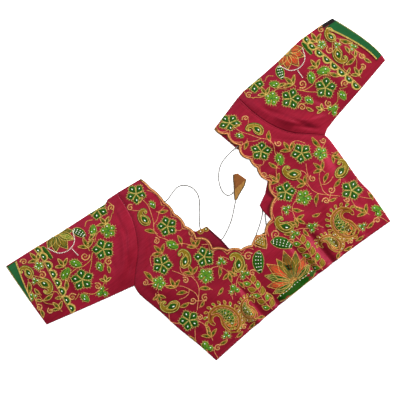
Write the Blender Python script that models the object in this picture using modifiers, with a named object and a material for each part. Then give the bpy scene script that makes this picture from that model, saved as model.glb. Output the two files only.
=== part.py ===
"""A boat neck blouse laid flat on a table with its back uppermost, as a Blender 4.5 scene.

The world frame is metres with +Z up and the table at z = 0. +X runs along the hem to the right and +Y from the hem to
the neck. The origin is on the table under the middle of the garment. Sizes and plan positions below are in
millimetres, with positions counted from the middle of the hem. The blouse was dropped a little askew, so its two
halves are laid out by their own rows."""

from collections import namedtuple
from math import cos, exp, hypot, pi, radians, sin

import bpy

MM = 0.001

# Cloth
WALL = 1.2  # crimson silk with the lining behind it
SEAM_GAP = 0.3  # left between two pieces that are sewn or lie together
LOFT = 1.7  # how far the back stands off the front away from the seams
LOFT_REACH = 42.0  # over what distance from a seam it comes up to that
SLEEVE_EDGE = 3.0  # height of a sleeve at its two folded edges
SLEEVE_LOFT = 2.2  # how much higher the sleeve stands between them
EDGING_WIDTH = 4.0
EDGING_WALL = 1.0
BAND_WALL = 0.8
ARMHOLE_SPANS = 10  # straight spans that every piece along an armhole shares

# Tie cords and tassel
CORD_RADIUS = 1.1
CORD_STEP = 5.0
TASSEL_WALL = 1.0
TASSEL_EDGE = 2.8  # height along its two folded edges

# The back neck from the left shoulder round to the right. Each row ends one scallop: where, how far the scallop
# swells into the opening, and how many sections of the back it holds. The row without swell is the pointed middle.
Scallop = namedtuple("Scallop", "x y swell sections")
NECK = [
    Scallop(-111, 370.5, 0, 0),
    Scallop(-107, 346, 1.0, 5),
    Scallop(-103, 306, 2.5, 5),
    Scallop(-102, 277, 2.8, 5),
    Scallop(-100.5, 245, 3.5, 5),
    Scallop(-98, 214, 4.5, 5),
    Scallop(-87, 179, 9.0, 5),
    Scallop(-66, 158, 3.5, 6),
    Scallop(-44, 142, 3.2, 6),
    Scallop(-24, 135.5, 2.0, 6),
    Scallop(-5.5, 145, 0.5, 6),
    Scallop(9, 136, 0.5, 8),
    Scallop(37, 151, 4.0, 8),
    Scallop(70, 180, 6.0, 8),
    Scallop(80, 212, 6.0, 5),
    Scallop(77.5, 246, 5.5, 5),
    Scallop(77, 268, 2.5, 5),
    Scallop(78, 302, 8.5, 5),
    Scallop(73, 334, 6.0, 5),
    Scallop(60.5, 357, 5.0, 5),
]

# Seams in plan. Armholes run from the underarm up to the shoulder, side seams from the underarm down to the hem.
ARMHOLE_LEFT = [(-252, 216), (-230, 239), (-213, 254), (-199, 270), (-185, 294), (-172, 325), (-165, 378)]
ARMHOLE_RIGHT = [(222, 213), (205, 229), (190, 243), (175, 257), (160, 280), (148, 308), (140, 340), (135, 376)]
SIDE_LEFT = [(-252, 216), (-254, 195), (-243, 140), (-237, 100), (-228, 60), (-222, 30), (-218, 2)]
SIDE_RIGHT = [(222, 213), (224, 200), (221, 140), (219, 100), (222, 70), (220, 40), (217, 2)]
HEM_ARCH = 8.0  # the hem's middle lies this much further up than its corners
HEM_CORNER_Y = 2.0

# The two fronts, each a row a station along its inner edge: up the centre front, round the top corner and along its
# own neckline to the shoulder. seam says which outer seam the station's sections run to.
Station = namedtuple("Station", "x y seam sections")
FRONT_LEFT = [
    Station(-30, 12, "side", 0),
    Station(-56, 130, "side", 5),
    Station(-61.3, 157, "side", 3),
    Station(-63, 182, "side", 3),
    Station(-69.5, 218, "side", 4),
    Station(-91.6, 223.5, "armhole", 3),
    Station(-110, 246, "armhole", 2),
    Station(-114, 300, "armhole", 2),
    Station(-112.5, 369.5, "armhole", 3),
]
FRONT_RIGHT = [
    Station(12, 12, "side", 0),
    Station(38, 130, "side", 5),
    Station(36, 160.7, "side", 3),
    Station(35, 175, "side", 2),
    Station(36.8, 185.7, "side", 2),
    Station(59, 196.4, "side", 3),
    Station(77.9, 212.5, "armhole", 2),
    Station(84, 240, "armhole", 2),
    Station(83, 268, "armhole", 1),
    Station(71.4, 298, "armhole", 2),
    Station(62.5, 344, "armhole", 2),
    Station(61, 356, "armhole", 1),
]
FRONT_RINGS = [0, 8, 16, 26, 40]  # distances from the inner edge of the first rings, where the corner is lifted

# The sleeves, a row a section from the armhole to the cuff: the ends of the line across the sleeve, how far that line
# bows towards the cuff, and how many sections the span before it holds. The row before the last starts the cuff band.
Section = namedtuple("Section", "top_x top_y low_x low_y bow sections")
SLEEVE_LEFT = [
    Section(-165, 378, -252, 216, 0, 0),
    Section(-187, 380, -262, 218.5, 0, 2),
    Section(-195, 375.5, -268, 220, 0, 1),
    Section(-240, 381, -300, 228, 0, 3),
    Section(-300, 387, -342, 239, 0, 3),
    Section(-360, 395, -390, 252, 0, 3),
    Section(-399, 399.5, -429, 262.5, 8, 2),
    Section(-423, 402, -432, 263, 0, 1),
]
SLEEVE_RIGHT = [
    Section(135, 376, 222, 213, 0, 0),
    Section(150, 379, 233, 219.5, 0, 2),
    Section(200, 380.5, 262, 226.5, 0, 3),
    Section(250, 383, 293, 232, 0, 3),
    Section(298, 388, 332, 239, 4, 3),
    Section(346, 385.5, 388, 250, 12, 3),
    Section(375, 382, 404, 253, 7, 1),
]
BAND_FROM_LEFT, BAND_FROM_RIGHT = 4, 1  # first span across the cuff that each band covers

# Soft folds: the middle of each, its length, the half width where it has fallen to a third, the direction of its
# length counted from +X in degrees, and its height. A height below zero is a hollow.
Fold = namedtuple("Fold", "x y length width turn height")
BACK_FOLDS = [
    Fold(-104, 36, 100, 12, 86, 3.4),
    Fold(-70, 30, 84, 10, 93, 2.8),
    Fold(-28, 24, 60, 13, 80, 1.6),
    Fold(24, 44, 92, 12, 98, 3.0),
    Fold(60, 42, 96, 12, 94, 4.2),
    Fold(93, 40, 88, 10, 88, 3.4),
    Fold(128, 96, 90, 17, 60, 2.6),
    Fold(80, 112, 70, 14, 150, 2.0),
    Fold(-150, 110, 110, 18, 120, 1.8),
    Fold(-176, 300, 90, 11, 70, 1.6),
    Fold(150, 246, 80, 12, 140, 2.6),
    Fold(188, 178, 90, 13, 70, 2.0),
    Fold(-218, 190, 80, 13, 105, 1.6),
    Fold(176, 60, 70, 14, 100, 1.8),
]
SLEEVE_FOLDS = [
    Fold(-200, 300, 110, 13, 62, 2.6),
    Fold(-236, 262, 90, 12, 40, 2.0),
    Fold(-262, 330, 120, 17, 80, 1.4),
    Fold(-330, 300, 120, 20, 68, 1.6),
    Fold(-392, 330, 90, 14, 96, 1.2),
    Fold(170, 300, 110, 13, 112, 2.6),
    Fold(206, 258, 90, 12, 136, 3.0),
    Fold(236, 300, 110, 17, 104, 1.6),
    Fold(300, 300, 120, 20, 110, 1.6),
    Fold(356, 320, 90, 13, 98, 1.4),
]

# Routes of the tie cords in plan and height, hand-picked along their length.
Bend = namedtuple("Bend", "x y z")
CORD_LEFT = [
    Bend(-100.8, 306.3, 3.6),
    Bend(-94.5, 306.6, 3.0),
    Bend(-80, 311, 1.3),
    Bend(-66, 313.4, 1.1),
    Bend(-55, 309.5, 1.1),
    Bend(-46.5, 300, 1.1),
    Bend(-42.8, 287, 1.1),
    Bend(-46, 271, 1.1),
    Bend(-58.8, 252.7, 1.1),
    Bend(-71, 237.5, 1.1),
    Bend(-81, 223.5, 1.1),
    Bend(-83, 207, 1.1),
    Bend(-76, 190, 1.1),
    Bend(-62, 180.5, 1.1),
    Bend(-46, 185.5, 1.1),
    Bend(-30, 193.5, 1.1),
    Bend(-15, 204, 1.1),
    Bend(6.3, 221.9, 1.2),
]
CORD_RIGHT = [
    Bend(75.9, 301.6, 3.6),
    Bend(68, 302, 3.2),
    Bend(57, 301.6, 1.7),
    Bend(46, 300, 1.1),
    Bend(33, 297, 1.1),
    Bend(20, 289.5, 1.1),
    Bend(8.5, 277.5, 1.1),
    Bend(1, 264.5, 1.1),
    Bend(-2.4, 250.5, 1.1),
    Bend(0.2, 240.6, 1.1),
    Bend(7, 236.8, 1.1),
    Bend(12.7, 237.6, 1.3),
]
CORD_LOOP = [
    Bend(12, 127, 1.1),
    Bend(21.6, 144.6, 1.1),
    Bend(27.5, 155, 1.1),
    Bend(34, 165, 1.1),
    Bend(42, 170, 1.1),
    Bend(47, 176, 1.1),
    Bend(44, 181, 1.1),
    Bend(37, 177, 1.1),
    Bend(30, 168.5, 1.1),
    Bend(16, 157.5, 1.1),
    Bend(0, 147.5, 1.1),
    Bend(-16, 137, 1.1),
]

# The corners of the fronts ride over the cords: along these lines by this much, level to the first distance and back
# on the table at the second.
LIFT = 2.8
LIFT_LEVEL, LIFT_REACH = 9.0, 24.0
LIFT_LINES = [
    [(-81, 225), (-83, 207), (-76, 190), (-60, 180)],
    [(32, 167), (47, 178)],
]

# The tassel, sections as on the sleeves from the cord's end to its open end, with the height of each.
Flare = namedtuple("Flare", "top_x top_y low_x low_y bow sections height")
TASSEL = [
    Flare(5.3, 225.0, 9.3, 221.4, 0, 0, 3.0),
    Flare(12.9, 236.4, 18.5, 226.5, 0, 2, 4.6),
    Flare(21.6, 248.0, 30.5, 234.0, 0.6, 2, 6.4),
    Flare(33.2, 265.4, 45.7, 242.0, 5.0, 2, 5.4),
]


def blend(start, end, share):
    return tuple(a + (b - a) * share for a, b in zip(start, end))


def ease(share):
    """0 at 0 and below, 1 at 1 and above, level at both ends."""
    share = min(1.0, max(0.0, share))
    return share * share * (3 - 2 * share)


def smooth_curve(points, spans, fineness=12):
    """The points of a smooth curve through the given ones, evenly spaced into that many spans."""
    ends = [blend(points[1], points[0], 2.0)] + list(points) + [blend(points[-2], points[-1], 2.0)]
    dense = []
    for before, start, end, after in zip(ends, ends[1:], ends[2:], ends[3:]):
        for step in range(fineness):
            t = step / fineness
            dense.append(
                tuple(
                    0.5 * (2 * b + (c - a) * t + (2 * a - 5 * b + 4 * c - d) * t**2 + (3 * b - a - 3 * c + d) * t**3)
                    for a, b, c, d in zip(before, start, end, after)
                )
            )
    return even_spans(dense + [tuple(points[-1])], spans)


def even_spans(points, spans):
    """A polyline cut into equally long spans, corners in between left out."""
    lengths = [hypot(*(b - a for a, b in zip(p, q))) for p, q in zip(points, points[1:])]
    total, run, index, found = sum(lengths), 0.0, 0, []
    for span in range(spans + 1):
        want = total * span / spans
        while index < len(lengths) - 1 and run + lengths[index] < want:
            run += lengths[index]
            index += 1
        found.append(blend(points[index], points[index + 1], min(1.0, (want - run) / lengths[index])))
    return found


def along(points, share):
    """The point at this share of a list of evenly spaced points."""
    place = share * (len(points) - 1)
    index = min(len(points) - 2, int(place))
    return blend(points[index], points[index + 1], place - index)


def distance_to(point, line):
    """Distance in plan from a point to a polyline."""
    best = 1e9
    for (ax, ay), (bx, by) in zip(line, line[1:]):
        dx, dy = bx - ax, by - ay
        share = ((point[0] - ax) * dx + (point[1] - ay) * dy) / (dx * dx + dy * dy)
        share = min(1.0, max(0.0, share))
        best = min(best, hypot(point[0] - ax - dx * share, point[1] - ay - dy * share))
    return best


def folds_at(x, y, folds):
    rise = 0.0
    for fold in folds:
        turn = radians(fold.turn)
        lengthways = (x - fold.x) * cos(turn) + (y - fold.y) * sin(turn)
        crossways = (y - fold.y) * cos(turn) - (x - fold.x) * sin(turn)
        rise += fold.height * exp(-((crossways / fold.width) ** 2) - (2 * lengthways / fold.length) ** 4)
    return rise


def lift_at(x, y):
    """How far a front is lifted by the cord below it."""
    near = min(distance_to((x, y), line) for line in LIFT_LINES)
    return LIFT * (1 - ease((near - LIFT_LEVEL) / (LIFT_REACH - LIFT_LEVEL)))


def hem_y(x):
    half = SIDE_RIGHT[-1][0]
    return HEM_CORNER_Y + HEM_ARCH * (1 - (x / half) ** 2)


armhole_left = smooth_curve(ARMHOLE_LEFT, ARMHOLE_SPANS)
armhole_right = smooth_curve(ARMHOLE_RIGHT, ARMHOLE_SPANS)
side_left = smooth_curve(SIDE_LEFT, 20)
side_right = smooth_curve(SIDE_RIGHT, 20)
seams = [
    armhole_left,
    armhole_right,
    side_left,
    side_right,
    [NECK[0][:2], armhole_left[-1]],
    [NECK[-1][:2], armhole_right[-1]],
]


def back_underside(x, y):
    """The height of the back's lower face: on the front along the seams, lofted and folded between them."""
    near = min(distance_to((x, y), seam) for seam in seams)
    inward = ease(near / LOFT_REACH)
    return WALL + SEAM_GAP + lift_at(x, y) + inward * max(0.0, LOFT + folds_at(x, y, BACK_FOLDS))


def neck_points():
    """The scalloped neck edge, a point a section."""
    edge = [NECK[0][:2]]
    for start, end in zip(NECK, NECK[1:]):
        dx, dy = end.x - start.x, end.y - start.y
        chord = hypot(dx, dy)
        for step in range(1, end.sections + 1):
            share = step / end.sections
            swell = end.swell * 4 * share * (1 - share)
            edge.append((start.x + dx * share - dy / chord * swell, start.y + dy * share + dx / chord * swell))
    return edge


def drawn_in(points, inside, gap):
    """The points moved by the gap towards the point inside each."""
    moved = []
    for (x, y), (ix, iy) in zip(points, inside):
        reach = hypot(ix - x, iy - y)
        moved.append((x + (ix - x) / reach * gap, y + (iy - y) / reach * gap))
    return moved


def rings_between(inner, outer, first, count):
    """Rings from the inner edge to the outer: some at stated distances, then the count of them spread evenly."""
    rings = []
    for start, end in zip(inner, outer):
        reach = hypot(end[0] - start[0], end[1] - start[1])
        places = [distance / reach for distance in first]
        last = places[-1]
        places += [last + (1 - last) * step / count for step in range(1, count + 1)]
        rings.append([blend(start, end, place) for place in places])
    return rings


def to_material(name, colour, roughness, sheen=0.0):
    material = bpy.data.materials.new(name)
    material.use_nodes = True
    shader = material.node_tree.nodes["Principled BSDF"]
    shader.inputs["Base Color"].default_value = (*colour, 1.0)
    shader.inputs["Roughness"].default_value = roughness
    shader.inputs["Metallic"].default_value = 0.0
    shader.inputs["Sheen Weight"].default_value = sheen
    return material


def add_mesh(name, points, faces, material):
    mesh = bpy.data.meshes.new(name)
    mesh.from_pydata([tuple(value * MM for value in point) for point in points], [], faces)
    mesh.update()
    mesh.materials.append(material)
    mesh.shade_smooth()
    piece = bpy.data.objects.new(name, mesh)
    blouse.objects.link(piece)
    piece.parent = frame
    return piece


def thicken(piece, wall, outwards):
    """Gives a sheet its wall, on the side its faces look to or behind it."""
    solid = piece.modifiers.new("Cloth wall", "SOLIDIFY")
    solid.thickness = wall * MM
    solid.offset = 1.0 if outwards else -1.0
    solid.use_even_offset = True


def add_sheet(name, rows, wall, material):
    """A cloth whose lower face runs through rows of points, thickened upwards."""
    width = len(rows[0])
    points = [point for row in rows for point in row]
    faces = []
    for row in range(len(rows) - 1):
        for place in range(width - 1):
            corner = row * width + place
            faces.append((corner, corner + 1, corner + width + 1, corner + width))
    (ax, ay, _), (bx, by, _), (cx, cy, _) = (points[corner] for corner in faces[0][:3])
    if (bx - ax) * (cy - ay) - (by - ay) * (cx - ax) < 0:
        faces = [face[::-1] for face in faces]
    piece = add_mesh(name, points, faces, material)
    thicken(piece, wall, True)
    return piece


def tube_lines(rows, armhole=None):
    """The lines across a pressed tube, as functions of the share from its low edge to its top edge."""
    lines = []
    total = sum(row.sections for row in rows)
    done = 0
    for start, end in zip(rows[:1] + rows, rows):
        for step in range(1, end.sections + 1) if end is not start else [0]:
            share = step / end.sections if end.sections else 0.0
            row = end if end is start else type(end)(*blend(start, end, share))
            done += end is not start
            lines.append((row, 1 - done / total))
    outward = 1.0 if rows[-1].top_x > rows[0].top_x else -1.0

    def at(line, share):
        row, nearness = line
        x, y = blend((row.low_x, row.low_y), (row.top_x, row.top_y), share)
        x += outward * row.bow * sin(pi * share**0.7)
        if armhole:
            low, top = armhole[0], armhole[-1]
            seam_x, seam_y = along(armhole, share)
            chord_x, chord_y = blend(low, top, share)
            x += (seam_x - chord_x) * nearness**2
            y += (seam_y - chord_y) * nearness**2
        return x, y

    return lines, at


def add_pressed_tube(name, lines, at, spans, edge, height_at, wall, material):
    """A cloth tube pressed flat: its lower layer on the table, its upper layer at the stated height."""
    radius = edge / 2
    loops = []
    for line in lines:
        row = line[0]
        width = hypot(row.top_x - row.low_x, row.top_y - row.low_y)
        inset = radius / width
        inner = [
            step / spans if inset < 0.5 / spans else inset + (1 - 2 * inset) * step / spans
            for step in range(1, spans)
        ]
        flat = [inset] + inner + [1 - inset]
        corner = 1 - cos(pi / 4)
        heights = (corner * radius, radius, edge - corner * radius)
        top_fold = list(zip((1 - inset * corner, 1.0, 1 - inset * corner), heights))
        low_fold = list(zip((inset * corner, 0.0, inset * corner), reversed(heights)))
        loop = [(share, 0.0) for share in flat] + top_fold
        loop += [(share, height_at(line, share)) for share in reversed(flat)] + low_fold
        loops.append([(*at(line, share), z) for share, z in loop])
    around = len(loops[0])
    points = [point for loop in loops for point in loop]
    faces = []
    for ring in range(len(loops) - 1):
        for place in range(around):
            following = (place + 1) % around
            start = ring * around
            faces.append((start + place, start + following, start + around + following, start + around + place))
    if lines[-1][0].top_x < lines[0][0].top_x:
        faces = [face[::-1] for face in faces]
    piece = add_mesh(name, points, faces, material)
    thicken(piece, wall, False)
    return piece


def add_cord(name, bends, material):
    length = sum(hypot(*(b - a for a, b in zip(p, q))) for p, q in zip(bends, bends[1:]))
    route = [(x, y, max(z, CORD_RADIUS)) for x, y, z in smooth_curve(bends, round(length / CORD_STEP))]
    curve = bpy.data.curves.new(name, "CURVE")
    curve.dimensions = "3D"
    curve.bevel_depth = CORD_RADIUS * MM
    curve.bevel_resolution = 2
    curve.use_fill_caps = True
    spline = curve.splines.new("POLY")
    spline.points.add(len(route) - 1)
    for point, place in zip(spline.points, route):
        point.co = (*(value * MM for value in place), 1.0)
    curve.materials.append(material)
    cord = bpy.data.objects.new(name, curve)
    blouse.objects.link(cord)
    cord.parent = frame
    return cord


for old in list(bpy.data.objects):
    bpy.data.objects.remove(old, do_unlink=True)
blouse = bpy.data.collections.new("boat_neck_blouse")
bpy.context.scene.collection.children.link(blouse)
frame = bpy.data.objects.new("laid_out", None)
blouse.objects.link(frame)

crimson = to_material("crimson silk", (0.42, 0.012, 0.045), 0.5, 0.4)
crimson_shade = to_material("crimson silk, fronts", (0.33, 0.01, 0.034), 0.55, 0.3)
gold = to_material("gold edging cord", (0.66, 0.28, 0.05), 0.5)
green = to_material("green silk band", (0.006, 0.16, 0.03), 0.5, 0.3)
grey = to_material("grey tie cord", (0.36, 0.34, 0.3), 0.7)
brown = to_material("brown brocade tassel", (0.32, 0.13, 0.03), 0.6, 0.2)

# The back: sections run from the neck to the shoulder point, round the armhole, down the side, along the hem and back
# up the other side.
neck = neck_points()
hem = [(x, hem_y(x)) for x in (blend((side_left[-1][0],), (side_right[-1][0],), step / 48)[0] for step in range(49))]
outer = [along(armhole_left, 1 - step / 20) for step in range(20)]
outer += [along(side_left, step / 10) for step in range(10)]
outer += hem
outer += [along(side_right, 1 - step / 10) for step in range(1, 11)]
outer += [along(armhole_right, step / 20) for step in range(1, 21)]
back_plan = rings_between(neck, drawn_in(outer, neck, SEAM_GAP), [0, EDGING_WIDTH], 9)
back_rows = [[(x, y, back_underside(x, y)) for x, y in row] for row in back_plan]
add_sheet("back_panel", back_rows, WALL, crimson)
edging_rows = [[(x, y, z + WALL + SEAM_GAP) for x, y, z in row[:2]] for row in back_rows]
add_sheet("neck_edging", edging_rows, EDGING_WALL, gold)


def front_rows(stations, side, armhole):
    """The rows of a front: its inner edge from the stations, its outer edge shared out over side and armhole."""
    inner = [stations[0][:2]]
    counts = {"side": 0, "armhole": 0}
    for start, end in zip(stations, stations[1:]):
        counts[end.seam] += end.sections
        inner += [blend(start[:2], end[:2], step / end.sections) for step in range(1, end.sections + 1)]
    seam = [along(side, 1 - step / counts["side"]) for step in range(counts["side"] + 1)]
    seam += [along(armhole, step / counts["armhole"]) for step in range(1, counts["armhole"] + 1)]
    plan = rings_between(inner, drawn_in(seam, inner, SEAM_GAP), FRONT_RINGS, 4)
    rows = []
    for row in plan:
        rows.append([(x, max(y, hem_y(x) + 1.0), lift_at(x, y)) for x, y in row])
    return rows


add_sheet("front_left", front_rows(FRONT_LEFT, side_left, armhole_left), WALL, crimson_shade)
add_sheet("front_right", front_rows(FRONT_RIGHT, side_right, armhole_right), WALL, crimson_shade)

for side_name, rows, armhole, band_from in (
    ("left", SLEEVE_LEFT, armhole_left, BAND_FROM_LEFT),
    ("right", SLEEVE_RIGHT, armhole_right, BAND_FROM_RIGHT),
):
    lines, at = tube_lines(rows, armhole)

    def sleeve_top(line, share, at=at):
        x, y = at(line, share)
        row = line[0]
        width = hypot(row.top_x - row.low_x, row.top_y - row.low_y)
        inward = ease(min(share, 1 - share) * width / LOFT_REACH)
        away = ease((1 - line[1]) * 5)
        return SLEEVE_EDGE + inward * (SLEEVE_LOFT * away + folds_at(x, y, SLEEVE_FOLDS) * (0.35 + 0.65 * away))

    add_pressed_tube(
        "sleeve_" + side_name, lines, at, ARMHOLE_SPANS, SLEEVE_EDGE, sleeve_top, WALL, crimson
    )
    band_rows = []
    for line in lines[-2:]:
        places = [step / ARMHOLE_SPANS for step in range(band_from, ARMHOLE_SPANS)]
        band_rows.append([(*at(line, place), sleeve_top(line, place) + SEAM_GAP) for place in places])
    add_sheet("cuff_band_" + side_name, band_rows, BAND_WALL, green)

add_cord("tie_cord_left", CORD_LEFT, grey)
add_cord("tie_cord_right", CORD_RIGHT, grey)
add_cord("tie_cord_loop", CORD_LOOP, grey)

tassel_lines, tassel_at = tube_lines(TASSEL)


def tassel_top(line, share):
    inward = ease(4 * share * (1 - share))
    return TASSEL_EDGE + (line[0].height - TASSEL_EDGE) * inward


add_pressed_tube("tassel", tassel_lines, tassel_at, 5, TASSEL_EDGE, tassel_top, TASSEL_WALL, brown)

# The origin goes under the middle of the laid garment.
bpy.context.view_layer.update()
corners = [
    piece.matrix_world @ vertex.co
    for piece in blouse.objects
    if piece.type == "MESH"
    for vertex in piece.data.vertices
]
frame.location.x = -(min(corner.x for corner in corners) + max(corner.x for corner in corners)) / 2
frame.location.y = -(min(corner.y for corner in corners) + max(corner.y for corner in corners)) / 2
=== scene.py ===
from collections import namedtuple
from math import cos, hypot, pi, radians, sin

import bpy
import numpy as np
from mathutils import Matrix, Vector
from mathutils.bvhtree import BVHTree


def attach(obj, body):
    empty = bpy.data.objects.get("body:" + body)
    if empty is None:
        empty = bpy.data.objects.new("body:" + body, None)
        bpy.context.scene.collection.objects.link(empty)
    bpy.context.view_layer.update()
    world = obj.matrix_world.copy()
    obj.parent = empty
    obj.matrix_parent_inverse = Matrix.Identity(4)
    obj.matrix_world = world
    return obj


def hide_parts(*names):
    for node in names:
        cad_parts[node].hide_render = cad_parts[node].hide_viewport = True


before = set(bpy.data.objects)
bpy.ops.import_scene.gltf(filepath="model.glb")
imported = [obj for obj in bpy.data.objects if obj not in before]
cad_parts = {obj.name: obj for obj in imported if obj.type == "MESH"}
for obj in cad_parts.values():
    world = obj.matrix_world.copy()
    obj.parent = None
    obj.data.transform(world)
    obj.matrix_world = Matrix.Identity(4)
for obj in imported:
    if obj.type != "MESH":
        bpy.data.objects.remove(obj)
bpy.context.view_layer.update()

# A boat neck blouse laid flat with its back uppermost. Sizes and plan positions are in millimetres. Positions are
# counted from the middle of the hem: x runs along the hem to the right, y from the hem to the neck, z up from the
# table.
MM = 0.001
LAID_MIDDLE = (-13.397, 202.0836)  # the middle of the laid garment, which stands over the frame's origin


def in_frame(points):
    """Plan positions and heights in millimetres as positions in the frame, in metres."""
    points = np.asarray(points, float).reshape(-1, 3)
    return (points - [LAID_MIDDLE[0], LAID_MIDDLE[1], 0.0]) * MM


# The table is a sheet of matt white card that gives off a little light of its own, so nothing on it throws a shadow.
# The light is a large soft window above and a lower one on the right, which lets the folds show. The camera looks
# straight down and is turned about its own axis.
def linear(code):
    """An sRGB colour written in hex as the linear one that shaders take."""
    values = [int(code[place:place + 2], 16) / 255 for place in (0, 2, 4)]
    return tuple(v / 12.92 if v <= 0.04045 else ((v + 0.055) / 1.055) ** 2.4 for v in values) + (1.0,)


def add_node(tree, kind, settings=None, links=None, **values):
    """One node with its settings, the values of its sockets and the links into it."""
    node = tree.nodes.new(kind)
    for name, value in (settings or {}).items():
        setattr(node, name, value)
    for name, value in values.items():
        node.inputs[name.replace("_", " ")].default_value = value
    for name, source in (links or {}).items():
        tree.links.new(source, node.inputs[name])
    return node


def new_material(name, **values):
    """A material with its one shader, whose plain values are set on the shader itself."""
    material = bpy.data.materials.new(name)
    material.use_nodes = True
    tree = material.node_tree
    shader = tree.nodes["Principled BSDF"]
    shader.inputs["Specular IOR Level"].default_value = 0.15
    for socket, value in values.items():
        shader.inputs[socket.replace("_", " ")].default_value = value
    return material, tree, shader


TABLE_SIZE = 6000.0
TABLE_LEVEL = -0.2  # just under the lowest cloth
VIEW_CENTRE = (-44.2, 238.9)  # the point of the table in the middle of the picture
VIEW_WIDTH = 819.0
VIEW_TURN = -38.66
LENS, SENSOR = 85.0, 36.0

white_card, card_tree, card_shader = new_material("matt white card", Roughness=0.9, Emission_Strength=0.3,
                                                  Emission_Color=linear("FFFFFF"))
card_place = add_node(card_tree, "ShaderNodeTexCoord")
card_fleck = add_node(card_tree, "ShaderNodeTexNoise", {}, {"Vector": card_place.outputs["Object"]},
                      Scale=9.0, Detail=2.0)
card_tone = add_node(card_tree, "ShaderNodeValToRGB", {}, {"Fac": card_fleck.outputs["Fac"]})
card_tone.color_ramp.elements[0].color = linear("F3F3F2")
card_tone.color_ramp.elements[1].color = linear("FAFAFA")
card_tree.links.new(card_tone.outputs["Color"], card_shader.inputs["Base Color"])
half, level = TABLE_SIZE / 2 * MM, TABLE_LEVEL * MM
table_mesh = bpy.data.meshes.new("table_top")
table_mesh.from_pydata([(-half, -half, level), (half, -half, level), (half, half, level), (-half, half, level)], [],
                       [(0, 1, 2, 3)])
table_mesh.materials.append(white_card)
table = bpy.data.objects.new("table_top", table_mesh)
bpy.context.scene.collection.objects.link(table)

view_x, view_y, _ = in_frame((*VIEW_CENTRE, 0.0))[0]
camera = bpy.data.objects.new("camera", bpy.data.cameras.new("camera"))
camera.data.lens, camera.data.sensor_width = LENS, SENSOR
camera.location = (view_x, view_y, VIEW_WIDTH * MM * LENS / SENSOR)
camera.rotation_euler = (0.0, 0.0, radians(VIEW_TURN))
bpy.context.scene.collection.objects.link(camera)
bpy.context.scene.camera = camera

WINDOWS = (
    # name, place in metres, width in metres, power in watts
    ("window_above", (-0.2, 1.1, 2.1), 1.6, 58.0),
    ("window_right", (2.5, -0.05, 1.55), 1.4, 176.0),
)
for name, place, width, power in WINDOWS:
    light = bpy.data.lights.new(name, "AREA")
    light.shape, light.size, light.energy = "SQUARE", width, power
    lamp = bpy.data.objects.new(name, light)
    lamp.location = place
    lamp.rotation_euler = (Vector((0, 0, 0)) - Vector(place)).to_track_quat("-Z", "Y").to_euler()
    bpy.context.scene.collection.objects.link(lamp)
room = bpy.data.worlds.new("room")
room.use_nodes = True
room.node_tree.nodes["Background"].inputs["Color"].default_value = linear("FDFDFF")
room.node_tree.nodes["Background"].inputs["Strength"].default_value = 0.3
bpy.context.scene.world = room
bpy.context.scene.view_settings.view_transform = "Standard"

# The tie cords are thin dori cords, tightly twisted of grey-beige silk, sewn in behind the neck edge. They are limp and
# lie on the table or on the cloth below them. The left one ends in the tassel, the right one's end is tucked into the
# tassel's side, and a loop of the same cord comes out from under the neck and goes back under it.
CORD_RADIUS, CORD_STEP = 1.1, 5.0
CORD_TWIST = 3.2  # one turn of the twist
ONE_BAND = 0.314  # the scale at which a Wave Texture has one band to each unit of length
CORD_LEFT = [
    (-106.4, 306.1, 3.8), (-100.8, 306.3, 3.6), (-94.5, 306.6, 3.0), (-80, 311, 1.3), (-66, 313.4, 1.1),
    (-55, 309.5, 1.1), (-46.5, 300, 1.1), (-42.8, 287, 1.1), (-46, 271, 1.1), (-58.8, 252.7, 1.1), (-71, 237.5, 1.1),
    (-81, 223.5, 1.1), (-83, 207, 1.1), (-76, 190, 1.1), (-62, 180.5, 1.1), (-46, 185.5, 1.1), (-30, 193.5, 1.1),
    (-15, 204, 1.1), (10.4, 225.4, 1.4),
]
CORD_RIGHT = [
    (75.9, 301.6, 3.6), (68, 302, 3.2), (57, 301.6, 1.7), (46, 300, 1.1), (33, 297, 1.1), (20, 289.5, 1.1),
    (8.5, 277.5, 1.1), (1, 264.5, 1.1), (-2.4, 250.5, 1.1), (0.2, 240.6, 1.1), (7, 236.8, 1.1), (12.7, 237.6, 1.3),
]
CORD_LOOP = [
    (12, 127, 1.1), (21.6, 144.6, 1.1), (27.5, 155, 1.1), (34, 165, 1.1), (42, 170, 1.1), (47, 176, 1.1),
    (44, 181, 1.1), (37, 177, 1.1), (30, 168.5, 1.1), (16, 157.5, 1.1), (0, 147.5, 1.1), (-16, 137, 1.1),
]


def blend(start, end, share):
    return tuple(a + (b - a) * share for a, b in zip(start, end))


def even_spans(points, spans):
    """A polyline cut into equally long spans."""
    lengths = [hypot(*(b - a for a, b in zip(p, q))) for p, q in zip(points, points[1:])]
    total, run, index, found = sum(lengths), 0.0, 0, []
    for span in range(spans + 1):
        want = total * span / spans
        while index < len(lengths) - 1 and run + lengths[index] < want:
            run += lengths[index]
            index += 1
        found.append(blend(points[index], points[index + 1], min(1.0, (want - run) / lengths[index])))
    return found


def smooth_curve(points, spans, fineness=12):
    """The points of a smooth curve through the given ones, evenly spaced into that many spans."""
    ends = [blend(points[1], points[0], 2.0)] + list(points) + [blend(points[-2], points[-1], 2.0)]
    dense = []
    for before, start, end, after in zip(ends, ends[1:], ends[2:], ends[3:]):
        for step in range(fineness):
            t = step / fineness
            dense.append(tuple(
                0.5 * (2 * b + (c - a) * t + (2 * a - 5 * b + 4 * c - d) * t**2 + (3 * b - a - 3 * c + d) * t**3)
                for a, b, c, d in zip(before, start, end, after)))
    return even_spans(dense + [tuple(points[-1])], spans)


def length_of(points):
    return sum(hypot(*(b - a for a, b in zip(p, q))) for p, q in zip(points, points[1:]))


def stands_for(piece, node):
    """The piece rides on the garment's one body, in the place of a CAD node, whose part is hidden."""
    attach(piece, "root")
    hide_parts(node)
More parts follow.
